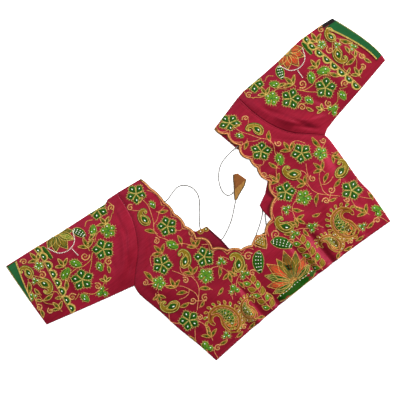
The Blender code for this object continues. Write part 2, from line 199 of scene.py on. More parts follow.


# Twisted silk cord, with hardly any shine: its two plies show as slanting bands, with painted shade between them.
twisted_cord, cord_tree, cord_shader = new_material("twisted grey silk cord", Roughness=0.62, Sheen_Weight=0.3)
cord_place = add_node(cord_tree, "ShaderNodeTexCoord")
cord_turned = add_node(cord_tree, "ShaderNodeMapping", {}, {"Vector": cord_place.outputs["Object"]})
cord_turned.inputs["Scale"].default_value = (1 / (CORD_TWIST * MM),) * 3
cord_plies = add_node(cord_tree, "ShaderNodeTexWave", {"bands_direction": "DIAGONAL"},
                      {"Vector": cord_turned.outputs["Vector"]}, Scale=ONE_BAND, Distortion=0.6)
# The colour runs from painted shade in the groove between the plies to their lit crests.
cord_ply_shade = add_node(cord_tree, "ShaderNodeValToRGB", {}, {"Fac": cord_plies.outputs["Fac"]})
cord_ply_shade.color_ramp.elements[0].color, cord_ply_shade.color_ramp.elements[1].color = linear("4E4C48"), linear("5C5A55")
cord_relief = add_node(cord_tree, "ShaderNodeBump", {}, {"Height": cord_plies.outputs["Fac"]},
                       Strength=0.8, Distance=0.0005)
cord_tree.links.new(cord_ply_shade.outputs["Color"], cord_shader.inputs["Base Color"])
cord_tree.links.new(cord_relief.outputs["Normal"], cord_shader.inputs["Normal"])

for name, bends in (("tie_cord_left", CORD_LEFT), ("tie_cord_right", CORD_RIGHT), ("tie_cord_loop", CORD_LOOP)):
    length = length_of(bends)
    route = [(x, y, max(z, CORD_RADIUS)) for x, y, z in smooth_curve(bends, round(length / CORD_STEP) * 2)]
    curve = bpy.data.curves.new(name + "_twist", "CURVE")
    curve.dimensions = "3D"
    curve.bevel_depth = CORD_RADIUS * MM
    curve.bevel_resolution = 2
    curve.use_fill_caps = True
    spline = curve.splines.new("POLY")
    spline.points.add(len(route) - 1)
    for point, spot in zip(spline.points, in_frame(route)):
        point.co = (*spot, 1.0)
    curve.materials.append(twisted_cord)
    cord = bpy.data.objects.new(name + "_twist", curve)
    bpy.context.scene.collection.objects.link(cord)
    stands_for(cord, name)

# Crimson silk: every panel is cut from one plain-woven silk lined behind. Warp and weft give it a fine grain, thicker
# threads show as slubs along the weft, and the fibre gives it a soft sheen that turns pink on the folds.
SILK_SHADES = ("520714", "640D1A", "781425")
SLUB_LENGTH = 26.0  # a thicker weft thread is this long and this thick
SLUB_WIDTH = 1.6
WEAVE_PITCH = 1.5  # the true thread spacing is 0.3 mm, drawn coarser so that it shows


def silk(name, shades, shine, sheen, bump=0.12):
    """Plain-woven silk with slubs along the weft, in three shades from the darkest to the lightest."""
    material, tree, shader = new_material(name, Roughness=0.42, Sheen_Weight=sheen, Sheen_Roughness=0.3,
                                          Specular_IOR_Level=0.22, Sheen_Tint=linear(shine),
                                          Specular_Tint=linear(shine))
    place = add_node(tree, "ShaderNodeTexCoord")
    drawn_out = add_node(tree, "ShaderNodeMapping", {}, {"Vector": place.outputs["Object"]})
    drawn_out.inputs["Scale"].default_value = (1 / (SLUB_LENGTH * MM), 1 / (SLUB_WIDTH * MM), 1 / (SLUB_LENGTH * MM))
    slubs = add_node(tree, "ShaderNodeTexNoise", {}, {"Vector": drawn_out.outputs["Vector"]}, Scale=1.0, Detail=3.0)
    dye = add_node(tree, "ShaderNodeTexNoise", {}, {"Vector": place.outputs["Object"]}, Scale=7.0, Detail=3.0)
    mixed = add_node(tree, "ShaderNodeMix", {"data_type": "FLOAT"},
                     {"A": slubs.outputs["Fac"], "B": dye.outputs["Fac"]}, Factor=0.62)
    shade = add_node(tree, "ShaderNodeValToRGB", {}, {"Fac": mixed.outputs["Result"]})
    shade.color_ramp.elements[0].position, shade.color_ramp.elements[1].position = 0.32, 0.68
    shade.color_ramp.elements[0].color, shade.color_ramp.elements[1].color = linear(shades[0]), linear(shades[2])
    shade.color_ramp.elements.new(0.5).color = linear(shades[1])
    tree.links.new(shade.outputs["Color"], shader.inputs["Base Color"])
    threads = add_node(tree, "ShaderNodeMapping", {}, {"Vector": place.outputs["Object"]})
    threads.inputs["Scale"].default_value = (1 / (WEAVE_PITCH * MM),) * 3
    warp, weft = (add_node(tree, "ShaderNodeTexWave", {"bands_direction": way}, {"Vector": threads.outputs["Vector"]},
                           Scale=ONE_BAND) for way in "XY")
    crossed = add_node(tree, "ShaderNodeMath", {"operation": "MAXIMUM"},
                       {0: warp.outputs["Fac"], 1: weft.outputs["Fac"]})
    grain = add_node(tree, "ShaderNodeMath", {"operation": "ADD"},
                     {0: crossed.outputs["Value"], 1: slubs.outputs["Fac"]})
    relief = add_node(tree, "ShaderNodeBump", {}, {"Height": grain.outputs["Value"]}, Strength=bump, Distance=0.0004)
    tree.links.new(relief.outputs["Normal"], shader.inputs["Normal"])
    return material


crimson_silk = silk("crimson woven silk", SILK_SHADES, "FF6A94", 0.08)

# The back is cut in one piece, with a deep scalloped neck, set on the fronts along its seams and standing off them in
# between. It lies in soft folds that start at the hem, the underarms and the shoulders, and a sewn dart takes in the
# waist on each side.
WALL = 1.2
SEAM_GAP = 0.3
LOFT, LOFT_REACH = 1.7, 42.0
SEAM_ROLL, SEAM_ROLL_REACH = 0.9, 9.0  # the cloth rolls up this much beside a seam, over this distance
ARMHOLE_SPANS, SIDE_SPANS = 10, 20
Scallop = namedtuple("Scallop", "x y swell sections")  # where it ends, how far it swells, its sections in the solid
NECK = [
    Scallop(-111, 370.5, 0, 0), Scallop(-107, 346, 1.0, 5), Scallop(-103, 306, 2.5, 5), Scallop(-102, 277, 2.8, 5),
    Scallop(-100.5, 245, 3.5, 5), Scallop(-98, 214, 4.5, 5), Scallop(-87, 179, 9.0, 5), Scallop(-66, 158, 3.5, 6),
    Scallop(-44, 142, 3.2, 6), Scallop(-24, 135.5, 2.0, 6), Scallop(-5.5, 145, 0.5, 6), Scallop(9, 136, 0.5, 8),
    Scallop(37, 151, 4.0, 8), Scallop(70, 180, 6.0, 8), Scallop(80, 212, 6.0, 5), Scallop(77.5, 246, 5.5, 5),
    Scallop(77, 268, 2.5, 5), Scallop(78, 302, 8.5, 5), Scallop(73, 334, 6.0, 5), Scallop(60.5, 357, 5.0, 5),
]
ARMHOLE_LEFT = [(-252, 216), (-230, 239), (-213, 254), (-199, 270), (-185, 294), (-172, 325), (-165, 378)]
ARMHOLE_RIGHT = [(222, 213), (205, 229), (190, 243), (175, 257), (160, 280), (148, 308), (140, 340), (135, 376)]
SIDE_LEFT = [(-252, 216), (-254, 195), (-243, 140), (-237, 100), (-228, 60), (-222, 30), (-218, 2)]
SIDE_RIGHT = [(222, 213), (224, 200), (221, 140), (219, 100), (222, 70), (220, 40), (217, 2)]
HEM_ARCH, HEM_CORNER_Y = 8.0, 2.0
FINER = 3  # the cloth has this many sections for each one of the solid's
BACK_RINGS = 62

Fold = namedtuple("Fold", "x y length width turn height")
BACK_FOLDS = [
    Fold(-104, 36, 100, 12, 86, 3.4), Fold(-70, 30, 84, 10, 93, 2.8), Fold(-28, 24, 60, 13, 80, 1.6),
    Fold(24, 44, 92, 12, 98, 3.0), Fold(60, 42, 96, 12, 94, 4.2), Fold(93, 40, 88, 10, 88, 3.4),
    Fold(128, 96, 90, 17, 60, 2.6), Fold(80, 112, 70, 14, 150, 2.0), Fold(-150, 110, 110, 18, 120, 1.8),
    Fold(-176, 300, 90, 11, 70, 1.6), Fold(150, 246, 80, 12, 140, 2.6), Fold(188, 178, 90, 13, 70, 2.0),
    Fold(-218, 190, 80, 13, 105, 1.6), Fold(176, 60, 70, 14, 100, 1.8),
]
# Smaller creases, hollows among them, between the main folds.
BACK_CREASES = [
    Fold(-92, 40, 96, 4.2, 90, -2.9), Fold(-55, 20, 56, 4.5, 96, -2.2), Fold(39, 55, 80, 4.2, 95, -2.7),
    Fold(79, 38, 76, 4.2, 91, -2.8), Fold(107, 34, 60, 4.5, 84, -2.4), Fold(-126, 22, 46, 4.5, 82, -1.6),
    Fold(4, 14, 26, 5, 100, -0.9), Fold(-108, 26, 50, 4.0, 96, 1.4), Fold(52, 24, 54, 3.6, 86, 1.5),
    Fold(148, 60, 60, 6, 70, -1.0), Fold(-150, 60, 70, 7, 112, 0.8),
    Fold(-186, 252, 70, 5, 60, -1.0), Fold(-206, 232, 60, 4.5, 48, -0.9), Fold(-160, 330, 60, 5, 80, -0.8),
    Fold(166, 244, 70, 4.5, 137, -1.4), Fold(190, 214, 66, 5, 128, -1.1), Fold(128, 268, 56, 6, 118, 0.9),
    Fold(108, 216, 50, 7, 160, 0.8), Fold(202, 150, 84, 6, 84, -1.0), Fold(196, 96, 70, 6, 96, 0.9),
    Fold(112, 76, 60, 5, 52, -1.1), Fold(64, 92, 44, 6, 10, -0.8), Fold(-228, 150, 80, 5, 102, -0.8),
    Fold(-200, 70, 60, 7, 96, 0.7), Fold(-120, 320, 60, 7, 94, 0.7), Fold(96, 330, 56, 6, 84, 0.8),
    Fold(118, 180, 60, 6, 36, -0.8), Fold(-60, 100, 60, 9, 30, 0.7), Fold(-10, 100, 50, 12, 4, 0.7),
    Fold(206, 30, 50, 6, 80, -0.9), Fold(-204, 18, 36, 5, 60, -0.7), Fold(156, 20, 34, 6, 98, 1.0),
]
FOLD_DEPTH, CREASE_DEPTH = 1.6, 2.1  # the cloth's folds and creases are this many times as high as listed
DART_HEIGHT, DART_DEPTH, DART_WIDTH, DART_END = 96.0, 1.1, 2.0, 30.0  # the dart runs out over the last 30 mm
DARTS = [(-95.0, 92.0), (80.0, 88.0)]  # where each dart starts on the hem, and the direction it runs in
HEM_TURN, HEM_DIP, HEM_DIP_WIDTH = 7.0, 0.8, 1.8  # the hem is turned up this much, and its stitches draw the cloth in
# The cords lift the fronts' corners and the back over them: fully near these lines, and not at all beyond the reach.
LIFT, LIFT_LEVEL, LIFT_REACH = 2.8, 9.0, 24.0
LIFT_LINES = [[(-81, 225), (-83, 207), (-76, 190), (-60, 180)], [(32, 167), (47, 178)]]


def ease(share):
    """0 at 0 and below, 1 at 1 and above, level at both ends."""
    share = np.clip(share, 0.0, 1.0)
    return share * share * (3 - 2 * share)


def along(points, share):
    """The point at this share of a list of evenly spaced points."""
    place = share * (len(points) - 1)
    index = min(len(points) - 2, int(place))
    return blend(points[index], points[index + 1], place - index)


def distance_to(x, y, line):
    """Distance in plan from points to a polyline."""
    best = np.full(np.shape(x), 1e9)
    for (ax, ay), (bx, by) in zip(line, line[1:]):
        dx, dy = bx - ax, by - ay
        share = np.clip(((x - ax) * dx + (y - ay) * dy) / (dx * dx + dy * dy), 0.0, 1.0)
        best = np.minimum(best, np.hypot(x - ax - dx * share, y - ay - dy * share))
    return best


def folds_at(x, y, folds):
    rise = np.zeros(np.shape(x))
    for fold in folds:
        turn = radians(fold.turn)
        lengthways = (x - fold.x) * cos(turn) + (y - fold.y) * sin(turn)
        crossways = (y - fold.y) * cos(turn) - (x - fold.x) * sin(turn)
        rise += fold.height * np.exp(-((crossways / fold.width) ** 2) - (2 * lengthways / fold.length) ** 4)
    return rise


def lift_at(x, y):
    """How far a front is lifted by the cord below it."""
    near = np.minimum.reduce([distance_to(x, y, line) for line in LIFT_LINES])
    return LIFT * (1 - ease((near - LIFT_LEVEL) / (LIFT_REACH - LIFT_LEVEL)))


def hem_y(x):
    return HEM_CORNER_Y + HEM_ARCH * (1 - (x / SIDE_RIGHT[-1][0]) ** 2)


armhole_left = smooth_curve(ARMHOLE_LEFT, ARMHOLE_SPANS)
armhole_right = smooth_curve(ARMHOLE_RIGHT, ARMHOLE_SPANS)
side_left = smooth_curve(SIDE_LEFT, SIDE_SPANS)
side_right = smooth_curve(SIDE_RIGHT, SIDE_SPANS)
seams = [armhole_left, armhole_right, side_left, side_right,
         [NECK[0][:2], armhole_left[-1]], [NECK[-1][:2], armhole_right[-1]]]


def dart_at(x, y):
    """The narrow hollow that a sewn dart draws in the cloth, deepest at the hem."""
    drop = np.zeros(np.shape(x))
    for start_x, turn in DARTS:
        run = y - hem_y(start_x)
        crossways = (x - start_x) * sin(radians(turn)) - run * cos(radians(turn))
        drop += DART_DEPTH * np.exp(-((crossways / DART_WIDTH) ** 2)) * ease((DART_HEIGHT - run) / DART_END)
    return drop


def back_underside(x, y):
    """The height of the back's lower face."""
    near = np.minimum.reduce([distance_to(x, y, seam) for seam in seams])
    stand = LOFT + FOLD_DEPTH * folds_at(x, y, BACK_FOLDS) + CREASE_DEPTH * folds_at(x, y, BACK_CREASES) - dart_at(x, y)
    inward = ease(near / LOFT_REACH) * np.maximum(0.0, stand)
    drawn = HEM_DIP * np.exp(-(((y - hem_y(x) - HEM_TURN) / HEM_DIP_WIDTH) ** 2)) * ease(near / SEAM_ROLL_REACH)
    return WALL + SEAM_GAP + lift_at(x, y) + np.maximum(0.0, inward - drawn) + SEAM_ROLL * ease(near / SEAM_ROLL_REACH)


def neck_points(finer):
    """The scalloped neck edge, the given number of points for each section."""
    edge = [NECK[0][:2]]
    for start, end in zip(NECK, NECK[1:]):
        dx, dy = end.x - start.x, end.y - start.y
        chord = hypot(dx, dy)
        for step in range(1, end.sections * finer + 1):
            share = step / (end.sections * finer)
            swell = end.swell * 4 * share * (1 - share)
            edge.append((start.x + dx * share - dy / chord * swell, start.y + dy * share + dx / chord * swell))
    return edge


def drawn_in(points, inside, gap):
    """The points moved by the gap towards the point inside each."""
    moved = []
    for (x, y), (ix, iy) in zip(points, inside):
        reach = hypot(ix - x, iy - y)
        moved.append((x + (ix - x) / reach * gap, y + (iy - y) / reach * gap))
    return moved


def rings_between(inner, outer, first, count):
    """Rings from the inner edge to the outer: some at stated distances, then the count of them spread evenly."""
    rings = []
    for start, end in zip(inner, outer):
        reach = hypot(end[0] - start[0], end[1] - start[1])
        places = [distance / reach for distance in first]
        last = places[-1]
        places += [last + (1 - last) * step / count for step in range(1, count + 1)]
        rings.append([blend(start, end, place) for place in places])
    return np.array(rings)


def add_mesh(name, points, faces, material):
    mesh = bpy.data.meshes.new(name)
    mesh.from_pydata(in_frame(points).tolist(), [], faces)
    mesh.update()
    mesh.materials.append(material)
    mesh.shade_smooth()
    piece = bpy.data.objects.new(name, mesh)
    bpy.context.scene.collection.objects.link(piece)
    return piece


def thicken(piece, wall, outwards):
    """Gives a sheet its wall, on the side its faces look to or behind it, and leaves it a plain mesh."""
    solid = piece.modifiers.new("Cloth wall", "SOLIDIFY")
    solid.thickness = wall * MM
    solid.offset = 1.0 if outwards else -1.0
    solid.use_even_offset = True
    settle(piece)


def settle(piece):
    """Makes what the modifiers give the piece's own mesh."""
    graph = bpy.context.evaluated_depsgraph_get()
    made = bpy.data.meshes.new_from_object(piece.evaluated_get(graph))
    made.name = piece.name
    piece.modifiers.clear()
    piece.data = made


def add_sheet(name, rows, wall, material):
    """A cloth whose lower face runs through rows of points, thickened upwards."""
    rows = np.asarray(rows)
    width = rows.shape[1]
    faces = []
    for row in range(rows.shape[0] - 1):
        for place in range(width - 1):
            corner = row * width + place
            faces.append((corner, corner + 1, corner + width + 1, corner + width))
    points = rows.reshape(-1, 3)
    (ax, ay, _), (bx, by, _), (cx, cy, _) = (points[corner] for corner in faces[0][:3])
    if (bx - ax) * (cy - ay) - (by - ay) * (cx - ax) < 0:
        faces = [face[::-1] for face in faces]
    piece = add_mesh(name, points, faces, material)
    thicken(piece, wall, True)
    return piece


# The back's outer edge has as many points as its neck, shared out over the armholes, the sides and the hem.
armhole_steps, side_steps, hem_steps = 20 * FINER, 10 * FINER, 48 * FINER
neck = neck_points(FINER)
outer = [along(armhole_left, 1 - step / armhole_steps) for step in range(armhole_steps)]
outer += [along(side_left, step / side_steps) for step in range(side_steps)]
outer += [(x, hem_y(x)) for x in np.linspace(side_left[-1][0], side_right[-1][0], hem_steps + 1)]
outer += [along(side_right, 1 - step / side_steps) for step in range(1, side_steps + 1)]
outer += [along(armhole_right, step / armhole_steps) for step in range(1, armhole_steps + 1)]
back_plan = rings_between(neck, drawn_in(outer, neck, SEAM_GAP), [0], BACK_RINGS)
back_rows = np.dstack([back_plan, back_underside(back_plan[..., 0], back_plan[..., 1])])
back = add_sheet("back_cloth", back_rows, WALL, crimson_silk)
stands_for(back, "back_panel")

# The two fronts lie under the back and are open down the middle, so their top corners show in the neck, where each
# rides over a tie cord. The rest is hidden, and is cut plain.
Station = namedtuple("Station", "x y seam sections")
FRONT_LEFT = [
    Station(-30, 12, "side", 0), Station(-56, 130, "side", 5), Station(-61.3, 157, "side", 3),
    Station(-63, 182, "side", 3), Station(-69.5, 218, "side", 4), Station(-91.6, 223.5, "armhole", 3),
    Station(-110, 246, "armhole", 2), Station(-114, 300, "armhole", 2), Station(-112.5, 369.5, "armhole", 3),
]
FRONT_RIGHT = [
    Station(12, 12, "side", 0), Station(38, 130, "side", 5), Station(36, 160.7, "side", 3),
    Station(35, 175, "side", 2), Station(36.8, 185.7, "side", 2), Station(59, 196.4, "side", 3),
    Station(77.9, 212.5, "armhole", 2), Station(84, 240, "armhole", 2), Station(83, 268, "armhole", 1),
    Station(71.4, 298, "armhole", 2), Station(62.5, 344, "armhole", 2), Station(61, 356, "armhole", 1),
]
FRONT_RINGS, FRONT_EDGE_RINGS = 34, [0, 3, 6, 9, 12, 16, 20, 26, 33, 40]  # rings in all, and where the first ones lie
FRONT_FLAT = 10  # a front lies flat this close to its seams
# Creases that rise off the table on the hidden side, low enough to stay under the back.
FRONT_CREASES = [
    Fold(-140, 60, 90, 8, 84, 0.9), Fold(-96, 70, 70, 6, 97, 0.7), Fold(-180, 150, 80, 9, 60, 0.9),
    Fold(-150, 230, 90, 8, 120, 0.8), Fold(-148, 310, 70, 6, 100, 0.6), Fold(-205, 90, 60, 7, 104, 0.6),
    Fold(100, 60, 80, 8, 98, 0.9), Fold(150, 90, 90, 7, 76, 0.8), Fold(176, 170, 70, 9, 110, 0.9),
    Fold(120, 240, 80, 7, 64, 0.8), Fold(112, 320, 60, 6, 90, 0.6), Fold(60, 110, 50, 6, 90, 0.6),
]


def front_underside(x, y):
    near = np.minimum.reduce([distance_to(x, y, seam) for seam in seams])
    return lift_at(x, y) + ease((near - FRONT_FLAT) / LOFT_REACH) * folds_at(x, y, FRONT_CREASES)


def front_rows(stations, side, armhole):
    """The rows of a front: its inner edge from the stations, its outer edge shared out over side and armhole."""
    inner = [stations[0][:2]]
    counts = {"side": 0, "armhole": 0}
    for start, end in zip(stations, stations[1:]):
        counts[end.seam] += end.sections * FINER
        steps = end.sections * FINER
        inner += [blend(start[:2], end[:2], step / steps) for step in range(1, steps + 1)]
    seam = [along(side, 1 - step / counts["side"]) for step in range(counts["side"] + 1)]
    seam += [along(armhole, step / counts["armhole"]) for step in range(1, counts["armhole"] + 1)]
    plan = rings_between(inner, drawn_in(seam, inner, SEAM_GAP), FRONT_EDGE_RINGS,
                         FRONT_RINGS - len(FRONT_EDGE_RINGS) + 1)
    plan[..., 1] = np.maximum(plan[..., 1], hem_y(plan[..., 0]) + 1.0)
    return np.dstack([plan, front_underside(plan[..., 0], plan[..., 1])])


fronts = {}
# The left front gets a darker copy of the crimson silk: painted shade on its corner in the neck.
crimson_silk_painted_darker = silk("crimson silk painted darker for shade", ("480812", "580B19", "681021"), "FF6A94", 0.04)
for name, stations, side, armhole, cloth in (("front_left", FRONT_LEFT, side_left, armhole_left, crimson_silk_painted_darker),
                                             ("front_right", FRONT_RIGHT, side_right, armhole_right, crimson_silk)):
    front = add_sheet(name + "_cloth", front_rows(stations, side, armhole), WALL, cloth)
    stands_for(front, name)
    fronts[name] = front

# Each sleeve is one piece of the same silk, sewn into a tube along the underarm and set into the armhole. Pressed
# flat, its layers lie on each other, rounded over at the top fold and the underarm seam and open at the cuff.
SLEEVE_EDGE, SLEEVE_LOFT = 3.0, 2.2
SLEEVE_SPANS, SLEEVE_FINER = 60, 5
Section = namedtuple("Section", "top_x top_y low_x low_y bow sections")
SLEEVE_LEFT = [
    Section(-165, 378, -252, 216, 0, 0), Section(-187, 380, -262, 218.5, 0, 2), Section(-195, 375.5, -268, 220, 0, 1),
    Section(-240, 381, -300, 228, 0, 3), Section(-300, 387, -342, 239, 0, 3), Section(-360, 395, -390, 252, 0, 3),
    Section(-399, 399.5, -429, 262.5, 8, 2), Section(-423, 402, -432, 263, 0, 1),
]
SLEEVE_RIGHT = [
    Section(135, 376, 222, 213, 0, 0), Section(150, 379, 233, 219.5, 0, 2), Section(200, 380.5, 262, 226.5, 0, 3),
    Section(250, 383, 293, 232, 0, 3), Section(298, 388, 332, 239, 4, 3), Section(346, 385.5, 388, 250, 12, 3),
    Section(375, 382, 404, 253, 7, 1),
]
SLEEVE_FOLDS = [
    Fold(-200, 300, 110, 13, 62, 2.6), Fold(-236, 262, 90, 12, 40, 2.0), Fold(-262, 330, 120, 17, 80, 1.4),
    Fold(-330, 300, 120, 20, 68, 1.6), Fold(-392, 330, 90, 14, 96, 1.2), Fold(170, 300, 110, 13, 112, 2.6),
    Fold(206, 258, 90, 12, 136, 3.0), Fold(236, 300, 110, 17, 104, 1.6), Fold(300, 300, 120, 20, 110, 1.6),
    Fold(356, 320, 90, 13, 98, 1.4),
]
SLEEVE_CREASES = [
    Fold(-214, 286, 90, 4.5, 56, -1.3), Fold(-232, 252, 60, 4, 34, -1.2), Fold(-196, 330, 60, 5, 76, -0.9),
    Fold(-248, 300, 80, 6, 66, -0.8), Fold(-284, 262, 60, 5, 50, -0.8), Fold(-300, 330, 70, 7, 84, 0.7),
    Fold(-352, 290, 80, 7, 74, -0.7), Fold(-382, 350, 60, 6, 100, 0.6), Fold(-412, 300, 60, 6, 92, -0.6),
    Fold(186, 284, 100, 4.5, 120, -1.5), Fold(204, 246, 62, 4, 134, -1.5), Fold(162, 330, 60, 5, 100, -1.0),
    Fold(228, 250, 50, 5, 150, 0.9), Fold(258, 262, 60, 6, 120, -0.9), Fold(268, 320, 70, 7, 100, 0.7),
    Fold(322, 280, 80, 7, 108, -0.7), Fold(346, 340, 60, 6, 94, 0.6), Fold(376, 290, 60, 6, 104, -0.6),
]
# The loft, the roll beside the seam and the lower creases grow to their full height within these parts of the length
# from the armhole: a fifth, a twenty-second and an eighth.
LOFT_RUN, ROLL_RUN, UNDER_RUN = 5, 22, 8
SLEEVE_SET = 0.35  # share of its folds that a sleeve still has at the armhole
# Low creases on the layer that lies on the table.
SLEEVE_UNDER = [
    Fold(-230, 290, 80, 7, 60, 0.7), Fold(-320, 310, 90, 8, 78, 0.8), Fold(-386, 320, 70, 7, 92, 0.6),
    Fold(190, 290, 80, 7, 118, 0.7), Fold(270, 300, 90, 8, 102, 0.8), Fold(350, 310, 70, 7, 96, 0.6),
]


def tube_lines(rows, finer, armhole=None, bulge=lambda share: sin(pi * share**0.7)):
    """The lines across a pressed tube, and the function that gives a point on one from its low edge to its top edge."""
    lines = []
    total = sum(row.sections for row in rows) * finer
    for start, end in zip(rows[:1] + rows, rows):
        steps = end.sections * finer
        for step in range(1, steps + 1) if steps else [0]:
            row = type(end)(*blend(start, end, step / steps)) if steps else end
            lines.append((row, 1 - len(lines) / total))
    outward = 1.0 if rows[-1].top_x > rows[0].top_x else -1.0

    def at(line, share):
        row, nearness = line
        x, y = blend((row.low_x, row.low_y), (row.top_x, row.top_y), share)
        x += outward * row.bow * bulge(share)
        if armhole:
            seam_x, seam_y = along(armhole, share)
            chord_x, chord_y = blend(armhole[0], armhole[-1], share)
            x += (seam_x - chord_x) * nearness**2
            y += (seam_y - chord_y) * nearness**2
        return x, y

    return lines, at


def add_pressed_tube(name, lines, at, spans, edge, height_at, under_at, wall, material):
    """A cloth tube pressed flat: its lower layer on the table, its upper layer at the stated height."""
    radius = edge / 2
    loops = []
    for line in lines:
        row = line[0]
        inset = radius / hypot(row.top_x - row.low_x, row.top_y - row.low_y)
        flat = [inset + (1 - 2 * inset) * step / spans for step in range(spans + 1)]
        corner = 1 - cos(pi / 4)
        heights = (corner * radius, radius, edge - corner * radius)
        top_fold = list(zip((1 - inset * corner, 1.0, 1 - inset * corner), heights))
        low_fold = list(zip((inset * corner, 0.0, inset * corner), reversed(heights)))
        loop = [(share, under_at(line, share)) for share in flat] + top_fold
        loop += [(share, height_at(line, share)) for share in reversed(flat)] + low_fold
        loops.append([(*at(line, share), z) for share, z in loop])
    around = len(loops[0])
    faces = []
    for ring in range(len(loops) - 1):
        for place in range(around):
            following, start = (place + 1) % around, ring * around
            faces.append((start + place, start + following, start + around + following, start + around + place))
    if lines[-1][0].top_x < lines[0][0].top_x:
        faces = [face[::-1] for face in faces]
    piece = add_mesh(name, np.array(loops), faces, material)
    thicken(piece, wall, False)
    return piece


def sleeve_height(at):
    """The height of a sleeve's upper layer, and of its lower one."""
    def inward(line, share):
        row = line[0]
        width = hypot(row.top_x - row.low_x, row.top_y - row.low_y)
        return float(ease(min(share, 1 - share) * width / LOFT_REACH))

    def top(line, share):
        x, y = at(line, share)
        away = float(ease((1 - line[1]) * LOFT_RUN))
        rise = float(FOLD_DEPTH * folds_at(x, y, SLEEVE_FOLDS) + CREASE_DEPTH * folds_at(x, y, SLEEVE_CREASES))
        rise = max(0.0, SLEEVE_LOFT * away + rise * (SLEEVE_SET + (1 - SLEEVE_SET) * away))
        roll = SEAM_ROLL * float(ease((1 - line[1]) * ROLL_RUN))
        return SLEEVE_EDGE + inward(line, share) * rise + roll * min(1.0, inward(line, share) * 5)

    def under(line, share):
        x, y = at(line, share)
        return inward(line, share) * float(ease((1 - line[1]) * UNDER_RUN) * folds_at(x, y, SLEEVE_UNDER))

    return top, under


sleeves = {}
for side, rows, armhole in (("left", SLEEVE_LEFT, armhole_left), ("right", SLEEVE_RIGHT, armhole_right)):
    lines, at = tube_lines(rows, SLEEVE_FINER, armhole)
    top, under = sleeve_height(at)
    sleeve = add_pressed_tube("sleeve_" + side + "_cloth", lines, at, SLEEVE_SPANS, SLEEVE_EDGE, top, under, WALL,
                              crimson_silk)
    stands_for(sleeve, "sleeve_" + side)
    sleeves[side] = (sleeve, lines, at, top)

# At the right cuff's top corner the faces over the fold are near-black: painted shade of the sleeve's open inside.
CUFF_SHADE_FROM, CUFF_SHADE_SLOPE = (339.0, 382.0), 0.29
cuff_opening_shade = silk("near-black painted shade of the cuff opening", ("0A0707", "120E0E", "1B1616"), "8C8888", 0.02, 0.1)


def plan_of(spot):
    """The plan position of a point of a finished mesh."""
    return spot.x / MM + LAID_MIDDLE[0], spot.y / MM + LAID_MIDDLE[1]


right_mesh = sleeves["right"][0].data
right_mesh.materials.append(cuff_opening_shade)
for face in right_mesh.polygons:
    x, y = (value - start for value, start in zip(plan_of(face.center), CUFF_SHADE_FROM))
    if x > 0 and y > -CUFF_SHADE_SLOPE * x:
        face.material_index = 1

# A contrast band of green silk is sewn on at each cuff. It is made on the sleeve's upper layer only, where it shows,
# and narrows to a wedge where the cuff was pressed askew.
BAND_WALL = 0.8
BAND_LINES = 6  # the band reaches from the cuff over this many of the sleeve's lines
BANDS = (
    # side, and the shares of the cuff where the band starts and ends
    ("left", 0.4, 0.985),
    ("right", 0.1, 0.93),
)
green_silk = silk("green woven silk", ("0B2E14", "103A1B", "174A23"), "7FE0A0", 0.05, 0.1)
BAND_STEPS = 40
bands = {}
for side, start, end in BANDS:
    sleeve, lines, at, top = sleeves[side]
    band_rows = []
    for line in lines[-BAND_LINES:]:
        shares = np.linspace(start, end, BAND_STEPS + 1)
        band_rows.append([(*at(line, share), top(line, share) + SEAM_GAP) for share in shares])
    band = add_sheet("cuff_band_" + side + "_cloth", band_rows, BAND_WALL, green_silk)
    stands_for(band, "cuff_band_" + side)
    bands[side] = (band, band_rows)

# The neck is bound with a narrow strip of bronze silk, and a thick rope of orange-gold thread is couched along its
# scalloped edge.
EDGING_WIDTH, BINDING_WALL = 4.0, 0.6
EDGING_RINGS = 4
ROPE_RING, ROPE_SHORT, ROPE_RISE = 3, 4, 1.0  # the ring the rope lies on, the points left out at its ends, its height
bronze_silk = silk("bronze silk binding", ("402B10", "4F3916", "61481F"), "E0C080", 0.05, 0.1)
edging_rows = []
for index in range(EDGING_RINGS + 1):
    row = []
    for start, towards in zip(back_rows[:, 0], back_rows[:, -1]):
        reach = hypot(*(towards[:2] - start[:2]))
        x, y = blend(start[:2], towards[:2], EDGING_WIDTH * index / EDGING_RINGS / reach)
        row.append((x, y, float(back_underside(x, y)) + WALL + SEAM_GAP))
    edging_rows.append(row)
edging = add_sheet("neck_binding", np.array(edging_rows), BINDING_WALL, bronze_silk)
stands_for(edging, "neck_edging")


